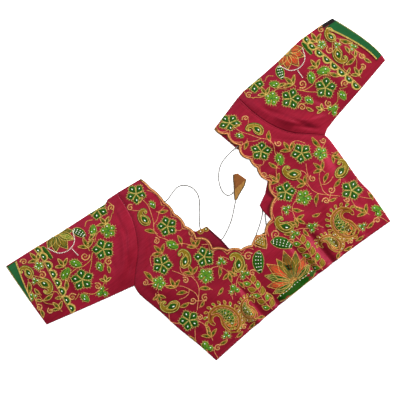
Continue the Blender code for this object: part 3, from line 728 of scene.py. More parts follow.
def stitch_tree(name, material):
    """Geometry Nodes that lay slanting stitches along every path: spindles of thread, each turned a little."""
    tree = bpy.data.node_groups.new(name, "GeometryNodeTree")
    tree.interface.new_socket("Paths", in_out="INPUT", socket_type="NodeSocketGeometry")
    for label in ("Pitch", "Length", "Width", "Height", "Lean", "Uneven"):
        tree.interface.new_socket(label, in_out="INPUT", socket_type="NodeSocketFloat")
    tree.interface.new_socket("Stitches", in_out="OUTPUT", socket_type="NodeSocketGeometry")
    given = add_node(tree, "NodeGroupInput")
    curves = add_node(tree, "GeometryNodeMeshToCurve", {}, {"Mesh": given.outputs["Paths"]})
    spaced = add_node(tree, "GeometryNodeResampleCurve", {"mode": "LENGTH"},
                      {"Curve": curves.outputs["Curve"], "Length": given.outputs["Pitch"]})
    size = add_node(tree, "ShaderNodeCombineXYZ", {}, {
        "X": given.outputs["Length"], "Y": given.outputs["Width"], "Z": given.outputs["Height"]})
    grain = add_node(tree, "GeometryNodeMeshUVSphere", {}, {}, Segments=5, Rings=3, Radius=0.5)
    up = add_node(tree, "GeometryNodeInputNamedAttribute", {"data_type": "FLOAT_VECTOR"}, {}, Name="up")
    run = add_node(tree, "GeometryNodeInputTangent")
    least, most = (add_node(tree, "ShaderNodeMath", {"operation": way},
                            {0: given.outputs["Lean"], 1: given.outputs["Uneven"]}) for way in ("SUBTRACT", "ADD"))
    spread = add_node(tree, "FunctionNodeRandomValue", {"data_type": "FLOAT"},
                      {2: least.outputs["Value"], 3: most.outputs["Value"]}, Seed=4)
    slanted = add_node(tree, "ShaderNodeVectorRotate", {"rotation_type": "AXIS_ANGLE"},
                       {"Vector": run.outputs["Tangent"], "Axis": up.outputs["Attribute"], "Angle": spread.outputs[1]})
    upright = add_node(tree, "FunctionNodeAlignRotationToVector", {"axis": "Z"}, {"Vector": up.outputs["Attribute"]})
    turned = add_node(tree, "FunctionNodeAlignRotationToVector", {"axis": "X", "pivot_axis": "Z"},
                      {"Rotation": upright.outputs["Rotation"], "Vector": slanted.outputs["Vector"]})
    laid = add_node(tree, "GeometryNodeInstanceOnPoints", {}, {
        "Points": spaced.outputs["Curve"], "Instance": grain.outputs["Mesh"], "Rotation": turned.outputs["Rotation"],
        "Scale": size.outputs["Vector"]})
    real = add_node(tree, "GeometryNodeRealizeInstances", {}, {"Geometry": laid.outputs["Instances"]})
    finished = add_node(tree, "GeometryNodeSetMaterial", {}, {"Geometry": real.outputs["Geometry"]})
    finished.inputs["Material"].default_value = material
    add_node(tree, "NodeGroupOutput", {}, {"Stitches": finished.outputs["Geometry"]})
    return tree


def add_grown(name, tree, spots, edges, attributes, slot, **values):
    """A piece that a Geometry Nodes tree grows on a mesh of points and edges, made a plain mesh."""
    mesh = bpy.data.meshes.new(name)
    mesh.from_pydata(np.asarray(spots).tolist(), edges, [])
    for label, rows in attributes.items():
        layer = mesh.attributes.new(label, "FLOAT_VECTOR", "POINT")
        layer.data.foreach_set("vector", np.asarray(rows, float).ravel())
    piece = bpy.data.objects.new(name, mesh)
    bpy.context.scene.collection.objects.link(piece)
    grown = piece.modifiers.new("Grown", "NODES")
    grown.node_group = tree
    for item in tree.interface.items_tree:
        if item.in_out == "INPUT" and item.name in values:
            grown[item.identifier] = values[item.name]
    settle(piece)
    piece.data.shade_smooth()
    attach(piece, "root")
    return piece


def thread(name, colours, metallic, roughness):
    """Embroidery thread in two tones that change from stitch to stitch."""
    material, tree, shader = new_material(name, Metallic=metallic, Roughness=roughness)
    place = add_node(tree, "ShaderNodeTexCoord")
    close = add_node(tree, "ShaderNodeTexNoise", {}, {"Vector": place.outputs["Object"]}, Scale=420.0, Detail=1.0)
    tone = add_node(tree, "ShaderNodeValToRGB", {}, {"Fac": close.outputs["Fac"]})
    tone.color_ramp.elements[0].position, tone.color_ramp.elements[1].position = 0.35, 0.65
    tone.color_ramp.elements[0].color, tone.color_ramp.elements[1].color = linear(colours[0]), linear(colours[1])
    tree.links.new(tone.outputs["Color"], shader.inputs["Base Color"])
    return material


orange_gold = thread("orange-gold couched thread", ("8A5329", "BC8150"), 0.1, 0.45)
rope_tree = stitch_tree("Couched rope", orange_gold)
rope_path = np.array(edging_rows)[ROPE_RING][ROPE_SHORT:-ROPE_SHORT] + [0, 0, ROPE_RISE]
rope_edges = [(step, step + 1) for step in range(len(rope_path) - 1)]
rope = add_grown("neck_rope", rope_tree, in_frame(rope_path), rope_edges, {"up": [(0, 0, 1)] * len(rope_path)},
                 "gold_thread", Pitch=1.5 * MM, Length=5.4 * MM, Width=2.1 * MM, Height=2.3 * MM,
                 Lean=radians(38), Uneven=radians(6))

# The tassel at the cord's end is a cone of brown and gold brocade, pressed flat and open at its wide end. It is folded
# over on a slant. Above the fold it is a darker, browner brocade without stripes: painted shade on that facet.
TASSEL_WALL, TASSEL_EDGE, TASSEL_SPANS, TASSEL_FINER = 1.0, 2.8, 24, 4
PUFF_REACH, PUFF_SIDES = 16.0, 5  # it swells this near to its fold, and fully from a fifth of its width inwards
MOUTH_PEAK = 0.84  # share of the open end's width, from its low corner, where it stands out furthest
TASSEL_FOLD = ((47.5, 240.6), (17.0, 240.6))  # the slanting fold, from the wide end's low corner to the top edge
Flare = namedtuple("Flare", "top_x top_y low_x low_y bow sections height")
TASSEL = [
    Flare(5.3, 225.0, 9.3, 221.4, 0, 0, 3.0), Flare(12.9, 236.4, 18.5, 225.8, 0, 2, 4.6),
    Flare(21.6, 248.0, 30.0, 230.2, 0.3, 2, 6.4), Flare(27.6, 257.2, 38.6, 233.4, 1.5, 1, 6.0),
    Flare(33.8, 265.2, 48.4, 240.6, 6.5, 1, 5.4),
]
brocade = silk("brown and gold brocade", ("573A1C", "74522A", "8F683A"), "E8B878", 0.08, 0.3)
STRIPE_PITCH, CONE_HEADING = 2.6, 43.0  # the woven gold stripes run down the cone
stripe_tree = brocade.node_tree
stripe_place = add_node(stripe_tree, "ShaderNodeTexCoord")
stripe_turned = add_node(stripe_tree, "ShaderNodeMapping", {}, {"Vector": stripe_place.outputs["Object"]})
stripe_turned.inputs["Rotation"].default_value = (0, 0, radians(-CONE_HEADING))
stripe_turned.inputs["Scale"].default_value = (1 / (STRIPE_PITCH * MM),) * 3
stripes = add_node(stripe_tree, "ShaderNodeTexWave", {"bands_direction": "Y"},
                   {"Vector": stripe_turned.outputs["Vector"]}, Scale=ONE_BAND)
stripe_share = add_node(stripe_tree, "ShaderNodeMapRange", {}, {"Value": stripes.outputs["Fac"]},
                        From_Min=0.6, To_Max=0.7)
striped = add_node(stripe_tree, "ShaderNodeMix", {"data_type": "RGBA"}, {"Factor": stripe_share.outputs["Result"]})
stripe_shader = stripe_tree.nodes["Principled BSDF"]
stripe_tree.links.new(stripe_shader.inputs["Base Color"].links[0].from_socket, striped.inputs[6])
striped.inputs[7].default_value = linear("AF8343")
stripe_tree.links.new(striped.outputs[2], stripe_shader.inputs["Base Color"])


def above_fold(x, y):
    """How far a point lies above the tassel's fold, or below it where that is negative."""
    (ax, ay), (bx, by) = TASSEL_FOLD
    return ((y - ay) * (bx - ax) - (x - ax) * (by - ay)) / (bx - ax)


def tassel_top(line, share):
    rise = 1 - abs(above_fold(*tassel_at(line, share))) / PUFF_REACH
    across = min(1.0, PUFF_SIDES * min(share, 1 - share))
    return TASSEL_EDGE + (line[0].height - TASSEL_EDGE) * max(0.0, rise) * across


tassel_lines, tassel_at = tube_lines(TASSEL, TASSEL_FINER,
                                     bulge=lambda share: min(share / MOUTH_PEAK, (1 - share) / (1 - MOUTH_PEAK)))
tassel = add_pressed_tube("tassel_cone", tassel_lines, tassel_at, TASSEL_SPANS, TASSEL_EDGE, tassel_top,
                          lambda line, share: 0.0, TASSEL_WALL, brocade)
tassel.data.materials.append(silk("brocade above the fold painted darker for shade", ("4C2A13", "643C1C", "7C4F2A"), "E8A070", 0.05, 0.3))
tassel.data.materials.append(silk("brocade sides painted darker for shade", ("33250F", "443418", "544223"), "C8A870", 0.02, 0.1))
TASSEL_SIDE_SHADE = 2.1  # width of the painted shade along each long side
long_sides = even_spans([row[:2] for row in TASSEL], 60) + even_spans([row[2:4] for row in TASSEL], 60)
# Faces above the fold take the darker brocade, and those along the long sides the darkest: painted shade.
for face in tassel.data.polygons:
    x, y = plan_of(face.center)
    face.material_index = int(above_fold(x, y) > 0)
    if min(hypot(x - side_x, y - side_y) for side_x, side_y in long_sides) < TASSEL_SIDE_SHADE:
        face.material_index = 2
stands_for(tassel, "tassel")

# The needlework is worked on the cut cloth before it is sewn up: satin-stitch fills, outlines of couched gold and coral
# thread, and set stones. Every motif is drawn flat in its own sizes, with its tip along +x, and laid on the cloth.
GROUNDS = {"back": back, "left": sleeves["left"][0], "right": sleeves["right"][0], "flap": fronts["front_left"],
           "left band": bands["left"][0], "right band": bands["right"][0]}
grounds = {}
for cloth, piece in GROUNDS.items():
    corners = [vertex.co.copy() for vertex in piece.data.vertices]
    grounds[cloth] = BVHTree.FromPolygons(corners, [tuple(face.vertices) for face in piece.data.polygons])
DROP_FROM, CLOTH_LEVEL = 40.0, 5.0  # well above the cloth, and about as high as it lies
LINE_STEP = 2.6  # a couched line follows the cloth in steps of this length
couched, filled, stones = {}, {}, {}


def laid_on(cloth, points):
    """Plan points let down onto a cloth: where they land, which way is up there, and which of them hit it."""
    spots, ups, hits = [], [], []
    for x, y, z in in_frame([(x, y, DROP_FROM) for x, y in points]):
        spot, up, _, _ = grounds[cloth].ray_cast(Vector((x, y, z)), Vector((0, 0, -1)))
        hits.append(spot is not None)
        if spot is None:
            spot, _, _, _ = grounds[cloth].find_nearest(Vector((x, y, CLOTH_LEVEL * MM)))
            up = Vector((0, 0, 1))
        spots.append(spot)
        ups.append(up if up.z > 0 else -up)
    return np.array(spots), np.array(ups), np.array(hits)


def headed(turn, length=1.0):
    return length * cos(radians(turn)), length * sin(radians(turn))


def spine_of(start, turn, length, bend=0.0, hurry=1.0, points=9):
    """The middle line of a leaf: it sets off in a direction and bends, the more so the further it goes."""
    line = [tuple(start)]
    for step in range(1, points):
        dx, dy = headed(turn + bend * ((step - 0.5) / (points - 1)) ** hurry, length / (points - 1))
        line.append((line[-1][0] + dx, line[-1][1] + dy))
    return line


def across(line):
    """The direction to the left of a line at each of its points."""
    run = np.gradient(line, axis=0)
    run /= np.maximum(np.hypot(run[:, 0], run[:, 1]), 1e-9)[:, None]
    return np.column_stack([-run[:, 1], run[:, 0]])


def sides_of(spine, widths):
    """The left and right side of a middle line with a half width at each of its points."""
    line = np.array(spine)
    out = across(line) * np.asarray(widths)[:, None]
    return line + out, line - out


# Half widths along a leaf, at even steps from its base to its tip, as shares of the widest.
KITE = (0.08, 0.24, 0.46, 0.7, 0.92, 1.0, 0.84, 0.46, 0.0)
LEAF = (0.05, 0.4, 0.74, 0.95, 1.0, 0.86, 0.58, 0.26, 0.0)
LOBE = (0.2, 0.55, 0.8, 0.95, 1.0, 0.98, 0.86, 0.6, 0.12)
PAISLEY = (0.3, 0.62, 0.84, 0.96, 1.0, 0.97, 0.9, 0.8, 0.69, 0.58, 0.48, 0.4, 0.33, 0.27, 0.22, 0.17, 0.1)
BAR = (0.5, 0.8, 0.9, 1.0, 1.0, 1.0, 0.9, 0.8, 0.4)
TRIANGLE = (1.0, 0.97, 0.9, 0.8, 0.68, 0.54, 0.4, 0.24, 0.06)
PICOT, PICOT_STEP = 2.0, 4.2  # length of a spike and how far apart they stand

# On the sleeves a yellower gold takes the place of the gold, and the gold that of the coral.
SLEEVE_THREADS = {"gold": "yellow gold", "coral": "gold"}


class Needle:
    """Works one motif on one cloth, from the motif's own sizes to the garment's plan."""

    def __init__(self, cloth, x, y, turn=0.0, other_half=None):
        self.cloth, self.x, self.y, self.turn, self.other_half = cloth, x, y, radians(turn), other_half
        self.over = 0.0  # thickness of the work that the next stitches lie on

    def put(self, points):
        c, s = cos(self.turn), sin(self.turn)
        plan = [(self.x + x * c - y * s, self.y + x * s + y * c) for x, y in points]
        return [self.other_half(x, y) for x, y in plan] if self.other_half else plan

    def couch(self, thread, points):
        thread = SLEEVE_THREADS.get(thread, thread) if self.cloth in ("left", "right") else thread
        couched.setdefault((self.cloth, thread), []).append((self.put(points), self.over))

    def fill(self, satin, spine, widths, height=0.7):
        filled.setdefault((self.cloth, satin), []).append((self.put(spine), widths, height, self.over))

    def stone(self, kind, x, y, heading=0.0, length=2.6, width=2.6):
        dx, dy = headed(heading)
        (px, py), (qx, qy) = self.put([(x, y), (x + dx, y + dy)])
        stones.setdefault((self.cloth, kind), []).append((px, py, qx - px, qy - py, length, width, self.over))

    def leaf(self, start, turn, length, half, satin, thread, shape=LEAF, bend=0.0, hurry=1.0, picots=False, rim=0.7,
             bare=0):
        """A satin-stitch leaf with its couched outline, from the stated point on, and spikes on its outer part."""
        spine = spine_of(start, turn, length, bend, hurry)
        widths = np.array(shape) * half
        if satin:
            self.fill(satin, spine, widths)
        left, right = sides_of(spine, widths + rim)
        tip = np.array(headed(turn + bend, rim)) + spine[-1]
        outline = [*left[bare:-1], tip, *right[bare:-1][::-1]]
        if thread:
            self.couch(thread, outline)
        if picots:
            total = length_of(outline)
            for spot in even_spans(outline, max(4, int(total / PICOT_STEP)))[1:-1]:
                away = np.array(spot) - np.array(spine[len(spine) // 3])
                reach = hypot(*away)
                if reach > length * 0.3:
                    self.couch(thread, [spot, np.array(spot) + away / reach * PICOT])


def flower(needle, size):
    """Five kite-shaped petals of dark green with spiked outlines, a drop stone on each and fine gold lines between
    them."""
    for petal in range(5):
        turn = 72.0 * petal
        needle.leaf(headed(turn, 0.09 * size), turn, 0.88 * size, 0.345 * size, "dark green", "pale gold", KITE,
                    picots=True, rim=0.4)
        needle.stone("crystal", *headed(turn, 0.6 * size), turn, 0.19 * size, 0.105 * size)
        needle.couch("pale gold", [headed(turn + 36, 0.04 * size), headed(turn + 36, 0.45 * size)])


LOBES = {
    # number of lobes: direction, length and half width of each as shares of the leaf's size, the lowest first
    5: ((134, 0.43, 0.18), (-134, 0.43, 0.18), (66, 0.53, 0.2), (-66, 0.53, 0.2), (0, 0.6, 0.22)),
    3: ((98, 0.5, 0.21), (-98, 0.5, 0.21), (0, 0.6, 0.25)),
}


def vine_leaf(needle, size, lobes):
    """A light green leaf of satin-stitched lobes, each with a spiked outline, a raised vein and a stone."""
    for turn, length, half in LOBES[lobes]:
        needle.leaf((-0.05 * size, 0), turn, length * size, half * size, "light green", "pale gold", LOBE, picots=True,
                    bare=4)
    needle.over = 0.55
    for turn, length, _ in LOBES[lobes]:
        needle.couch("green", [headed(turn, 0.02 * size), headed(turn, 0.45 * length * size)])
        needle.stone("crystal", *headed(turn, 0.62 * length * size), turn, 2.6, 2.0)
    needle.over = 0.0
    needle.couch("coral", [(-0.07 * size, 0), (-0.5 * size, 0)])


def paisley(needle, size, hand):
    """A hooked drop filled with gold inside a gold outline, on a dark green edge that shows all round it, with a green
    heart and a stone, and a green bud at the end of the hook."""
    spine = spine_of((-0.52 * size, -0.04 * size * hand), -18 * hand, 1.5 * size, 232 * hand, 2.7, 17)
    widths = np.array(PAISLEY) * 0.29 * size
    needle.fill("dark green", spine, widths + 1.9)
    needle.over = 0.35
    needle.fill("olive", spine, widths)
    left, right = sides_of(spine, widths)
    needle.over = 0.6
    needle.couch("yellow gold", [*left, *right[::-1], left[0]])
    needle.leaf(spine[1], -14 * hand, 0.7 * size, 0.18 * size, "dark green", "yellow gold", LEAF, 22 * hand, rim=0.4)
    needle.leaf(spine[-2], 215 * hand, 0.18 * size, 0.08 * size, "light green", "gold", LOBE, rim=0.4)
    needle.over = 0.9
    x, y = spine[4]
    needle.stone("crystal", x, y, 0, 0.15 * size, 0.07 * size)
    needle.over = 0.0


def cored_leaf(needle, start, turn, length, bend):
    """A gold leaf with a thick outline and a dark green core."""
    needle.leaf(start, turn, length, 0.13 * length, "olive", "gold", LEAF, bend, rim=1.0)
    needle.over = 0.45
    x, y = headed(turn + 0.1 * bend, 0.24 * length)
    needle.leaf((start[0] + x, start[1] + y), turn + 0.25 * bend, 0.46 * length, 0.075 * length, "dark green", None,
                LEAF, 0.5 * bend)
    needle.over = 0.0


def sprig(needle, size):
    """Three slender leaves on one stem."""
    for turn, share in ((0, 1.0), (54, 0.86), (-54, 0.86)):
        cored_leaf(needle, headed(turn, 0.08 * size), turn * 0.8, share * size, turn / 2)
    needle.couch("coral", [(0, 0), headed(184, 0.3 * size)])


def single_leaf(needle, size):
    cored_leaf(needle, (-0.5 * size, 0), -14, size, 28)
    needle.couch("coral", [(-0.5 * size, 0), (-0.72 * size, 0.06 * size)])


def oval_leaf(needle, size):
    """A light green leaf in one piece, with a vein and two stones."""
    needle.leaf((-0.5 * size, 0), 0, size, 0.3 * size, "light green", "pale gold", LOBE, picots=True, rim=0.5)
    needle.over = 0.5
    needle.couch("green", [(-0.4 * size, 0), (0.3 * size, 0)])
    for x, y in ((-0.06, -0.11), (0.16, 0.1)):
        needle.stone("crystal", x * size, y * size, 0, 2.8, 2.0)
    needle.over = 0.0


def scroll(needle, size, hand=1):
    """A tendril that winds up round a bead."""
    turns, steps = 1.35, 18
    spiral = [headed(hand * 360 * turns * step / steps, size * (1 - 0.8 * step / steps)) for step in range(steps + 1)]
    needle.couch("coral", spiral)
    needle.couch("orange gold", [(1.14 * x, 1.14 * y) for x, y in spiral[:14]])
    needle.stone("gold bead", 0, 0, 0, 2.2, 2.2)


DRAWN = {
    "flower": flower, "paisley": lambda n, s: paisley(n, s, 1), "paisley back": lambda n, s: paisley(n, s, -1),
    "sprig": sprig, "leaf": single_leaf, "scroll": scroll, "scroll back": lambda n, s: scroll(n, s, -1),
    "three": lambda n, s: vine_leaf(n, s, 3), "five": lambda n, s: vine_leaf(n, s, 5),
    "oval": oval_leaf,
}

# The two halves of the back carry the same work. The left half is drawn, and the right one is its mirror image about
# the line the blouse was folded on, which lies a little askew.
Motif = namedtuple("Motif", "kind x y size turn")
BODY_MOTIFS = [
    Motif("flower", -137, 353, 20, 21), Motif("flower", -129, 266, 20, -5), Motif("flower", -183, 214, 20.5, 30),
    Motif("flower", -110, 174.5, 20.5, -5), Motif("flower", -210, 97, 21, 4),
    Motif("oval", -125, 317, 16, 84), Motif("oval", -144, 231.5, 25, 114), Motif("five", -211, 190, 26, 30),
    Motif("five", -131, 144, 30, 10), Motif("three", -90, 146, 17, 60), Motif("three", -218, 33, 26, 70),
    Motif("paisley back", -152, 307, 30, 94), Motif("paisley", -144, 197, 33, 42),
    Motif("paisley back", -221, 143, 34, 166), Motif("paisley", -68, 127, 35, 52),
    Motif("sprig", -170, 231, 20, 97), Motif("sprig", -111, 199, 19, 82), Motif("sprig", -149, 162, 19, 74),
    Motif("sprig", -192, 163, 19, 78), Motif("sprig", -225, 173, 16, -118), Motif("sprig", -92, 121, 18, -112),
    Motif("sprig", -197, 44, 20, 76),
    Motif("leaf", -161.5, 279, 21, 129), Motif("leaf", -117, 294, 18, -30), Motif("leaf", -218.5, 213.5, 24, 95),
    Motif("leaf", -126.5, 230.5, 18, 76), Motif("leaf", -148, 126, 20, 140), Motif("leaf", -188.5, 147, 19, 154),
    Motif("leaf", -104, 134, 18, 52), Motif("leaf", -197.5, 125.5, 18, -12), Motif("leaf", -184, 21.5, 16, -8),
    Motif("leaf", -227, 64, 15, -75), Motif("leaf", -170, 106, 13, 20), Motif("leaf", -138, 338, 13, 200),
    Motif("scroll", -162.5, 339.5, 6, 20), Motif("scroll back", -163.5, 257, 6, 60), Motif("scroll", -100.5, 226, 6, 0),
    Motif("scroll back", -231, 207, 5.5, 40), Motif("scroll", -180.5, 122, 6.5, 180), Motif("scroll", -42.5, 122, 8, 0),
    Motif("scroll back", -167, 162, 6, 90), Motif("scroll", -158.5, 112, 6.5, 30), Motif("scroll", -200, 20, 6, 10),
]
BODY_VINES = [
    [(-134, 336), (-133, 322), (-137, 308), (-145, 289), (-154, 276), (-155, 262), (-148, 250), (-144, 242)],
    [(-111, 299), (-124, 297), (-137, 288), (-146, 286)], [(-175, 192), (-168, 181), (-163, 171), (-153, 160)],
    [(-159, 189), (-163, 181), (-162, 171)], [(-153, 160), (-152, 146), (-157, 132), (-167, 121), (-185, 103)],
    [(-204, 179), (-191, 167), (-179, 157), (-171, 142), (-167, 129), (-170, 117)],
    [(-172, 144), (-178, 138), (-189, 137), (-199, 140)], [(-121, 149), (-109, 148), (-98, 140), (-92, 124)],
    [(-138, 228), (-125, 220), (-113, 204)], [(-105, 221), (-109, 214), (-111, 204)],
    [(-229, 201), (-222, 198), (-216, 196)], [(-212, 76), (-218, 68), (-224, 60)], [(-212, 4), (-210, 18), (-204, 24)],
    [(-150, 322), (-160, 330), (-164, 335)], [(-201, 226), (-194, 238), (-182, 242), (-172, 236)],
    [(-228, 178), (-234, 170), (-236, 158)], [(-232, 132), (-240, 118), (-230, 104)],
    [(-196, 84), (-192, 70), (-196, 56)], [(-176, 118), (-168, 112), (-160, 106)], [(-52, 134), (-48, 128), (-44, 130)],
    [(-122, 250), (-114, 244), (-106, 246)], [(-98, 196), (-88, 188), (-86, 176)], [(-88, 156), (-80, 150), (-76, 142)],
]


def right_half(x, y):
    """The mirror image of a point of the left half."""
    middle = np.interp(y, (0, 100, 200, 265, 305, 360), (0, -8, -9, -12, -15, -24))
    return 2 * middle - x, y - 6 * float(ease((y - 300) / 60))


def work(cloth, motifs, vines, other_half=None):
    for motif in motifs:
        DRAWN[motif.kind](Needle(cloth, motif.x, motif.y, motif.turn, other_half), motif.size)
    for vine in vines:
        Needle(cloth, 0, 0, 0, other_half).couch("coral", smooth_curve(vine, 3 * len(vine)))


for other_half in (None, right_half):
    work("back", BODY_MOTIFS, BODY_VINES, other_half)

# Both sleeves carry the same work too, drawn here for the right one: a spray of leaves and flowers, and a chain of
# green ovals above the cuff.
SLEEVE_MOTIFS = [
    Motif("flower", 214, 309, 21, 36), Motif("flower", 279.3, 284, 21.5, 45), Motif("flower", 177, 379, 20, -50),
    Motif("five", 184.5, 332.5, 28, 40), Motif("oval", 206.5, 351, 21, -50), Motif("oval", 270, 317, 23, 60),
    Motif("oval", 296.5, 312, 26, -25), Motif("oval", 239, 285, 19, 104), Motif("three", 264, 242, 22, 6),
    Motif("oval", 296.5, 252, 20, 84), Motif("five", 326, 354, 17, 92), Motif("three", 348.5, 334, 13, 96),
    Motif("three", 370.5, 311.5, 15, 88),
    Motif("sprig", 290, 325, 18, 88), Motif("sprig", 234, 328, 20, 100), Motif("sprig", 248, 254, 13, 118),
    Motif("sprig", 346, 262, 17, 84), Motif("sprig", 181, 345, 17, 86), Motif("sprig", 322, 364, 19, 82),
    Motif("paisley back", 352, 358, 26, 94), Motif("paisley", 341, 315, 30, -108),
    Motif("leaf", 310, 292.5, 21, -50), Motif("leaf", 350, 294, 20, 0), Motif("leaf", 358, 316, 14, 86),
    Motif("leaf", 377, 275, 15, -70), Motif("leaf", 229.5, 270.5, 14, -66), Motif("leaf", 367, 330, 24, -52),
    Motif("leaf", 215, 341, 16, 168), Motif("leaf", 334, 282, 13, 24), Motif("leaf", 366, 300, 12, 50),
    Motif("scroll", 248.5, 318, 8, 200), Motif("scroll back", 220, 283, 7, 150), Motif("scroll", 265, 256.5, 6.5, 90),
    Motif("scroll back", 314, 267.5, 7, 180), Motif("scroll", 374, 288, 6, 90),
    Motif("scroll back", 361.5, 270, 5.5, 90), Motif("scroll", 332, 336, 7, 90), Motif("scroll", 154, 366, 6, 0),
    Motif("scroll", 344, 378, 6, 40),
]
SLEEVE_VINES = [
    [(234, 315), (245, 306), (264, 304), (272, 308), (293, 306), (300, 296)], [(237, 312), (249, 298), (260, 289)],
    [(252, 254), (264, 248), (281, 249), (292, 262)], [(300, 266), (306, 262), (313, 260)],
    [(360, 306), (360, 289), (350, 277)], [(194, 342), (206, 340), (218, 330)], [(160, 356), (170, 348), (181, 345)],
    [(222, 291), (232, 283), (238, 276)], [(338, 300), (330, 292), (334, 276)], [(366, 320), (372, 300), (378, 284)],
    [(196, 368), (206, 372), (214, 366)], [(152, 378), (150, 366), (158, 356)], [(344, 344), (338, 336), (334, 330)],
]
# The chain has a link at each point but the last, and each link heads for the next point.
CHAIN = [(311.8, 380), (311.4, 364.2), (314, 345), (317.5, 326), (321, 307), (324.2, 288.6), (327.7, 269.5),
         (330.5, 251.3), (333.3, 232.3)]


def left_sleeve(x, y):
    """The point of the left sleeve that matches one on the right."""
    return -40 - x - 0.05 * (x - 214), y + 0.065 * (x - 214)


for cloth, other_half in (("right", None), ("left", left_sleeve)):
    work(cloth, SLEEVE_MOTIFS, SLEEVE_VINES, other_half)
    for (x, y), (next_x, next_y) in zip(CHAIN, CHAIN[1:]):
        turn = np.degrees(np.arctan2(next_y - y, next_x - x))
        link = Needle(cloth, x, y, turn, other_half)
        link.leaf((-7.0, -0.5), -34, 16.0, 4.0, "dark green", "pale gold", LOBE, 68, rim=0.6)
        for reach in (8.3, 9.7):
            bowl = [headed(-angle, reach) for angle in range(165, 0, -30)]
            link.couch("yellow gold", [(-reach, 0.6), *bowl, (reach, 0.6)])
        link.couch("yellow gold", [(-9.4, 2.8), (9.6, 2.8)])
        link.stone("crystal", 0, -1.8, 0, 3.6, 2.3)

# Along the hem the work is richer: a lotus on a green ground under the neck, a leafy stem on each side of it, and then
# a small and a large gold mango. A gold drop hangs from the neck's tip between two green crescents sewn with pearls.
LOTUS = (-3.0, 27.0)
LOTUS_PETALS = (
    # direction, length, half width and satin of each petal, the lowest first
    (170, 44, 8, "dark green"), (10, 44, 8, "dark green"), (151, 50, 9.5, "coral"), (29, 50, 9.5, "coral"),
    (130, 56, 10, "dark green"), (50, 56, 10, "olive"), (109, 60, 11.5, "coral"), (71, 60, 11.5, "gold"),
    (90, 52, 10.5, "olive"),
)
STRIPES = {"coral": "green", "olive": "green", "gold": "green", "dark green": "pale gold", "light green": "gold"}


def beads_along(needle, kind, line, step, size):
    """Beads sewn along a line, a step apart."""
    for x, y in even_spans(line, max(1, round(length_of(line) / step))):
        needle.stone(kind, x, y, 0, size, size)


def lotus(needle, petals, scale=1.0):
    """A fan of petals in satin stitch, striped with couched lines of another colour."""
    for turn, length, half, satin in petals:
        start = headed(turn, 4 * scale)
        needle.leaf(start, turn, length * scale, half * scale, satin, "gold", LEAF)
        needle.over = 0.5
        for share in (-0.5, 0.0, 0.5):
            line = spine_of(start, turn, length * scale)
            side = sides_of(line, np.array(LEAF) * half * scale * abs(share))[share < 0]
            needle.couch(STRIPES[satin], side[1:-1])
        needle.over = 0.0


def crescent(needle, length, half, bend):
    """A curved leaf of dark green, sewn all over with pearls."""
    spine = spine_of((-length / 2, 0), -bend / 2, length, bend)
    needle.leaf(spine[0], -bend / 2, length, half, "dark green", "pale gold", LOBE, bend)
    needle.over = 0.3
    for share in (-0.5, 0.0, 0.5):
        side = sides_of(spine, np.array(LOBE) * half * abs(share))[share < 0]
        beads_along(needle, "pearl", side[1:-1], 0.42 * half + 2.4, 2.1)
    needle.over = 0.0


def stem(needle, height):
    """An upright stem with leaves in pairs, green and gold by turns, and a leaf with three lobes at its top."""
    needle.couch("coral", smooth_curve([(0, 0), (0.3 * height, 2.5), (0.65 * height, -2.5), (height, 0)], 16))
    for pair, share in enumerate((0.06, 0.24, 0.42, 0.6, 0.78)):
        for side in (-1, 1):
            satin = "light green" if (pair + (side > 0)) % 2 else "olive"
            needle.leaf((share * height, 1.5 * side), 62 * side, 0.2 * height, 0.055 * height, satin, "gold", LEAF,
                        -44 * side)
            if satin == "light green":
                needle.over = 0.5
                needle.stone("crystal", share * height + 0.07 * height, 0.1 * height * side, 40 * side, 2.4, 1.7)
                needle.over = 0.0
        needle.stone("gold bead", share * height, 0, 0, 2.2, 2.2)
    top_x, top_y = needle.put([(height + 4, 0)])[0]
    vine_leaf(Needle(needle.cloth, top_x, top_y, np.degrees(needle.turn)), 0.24 * height, 3)


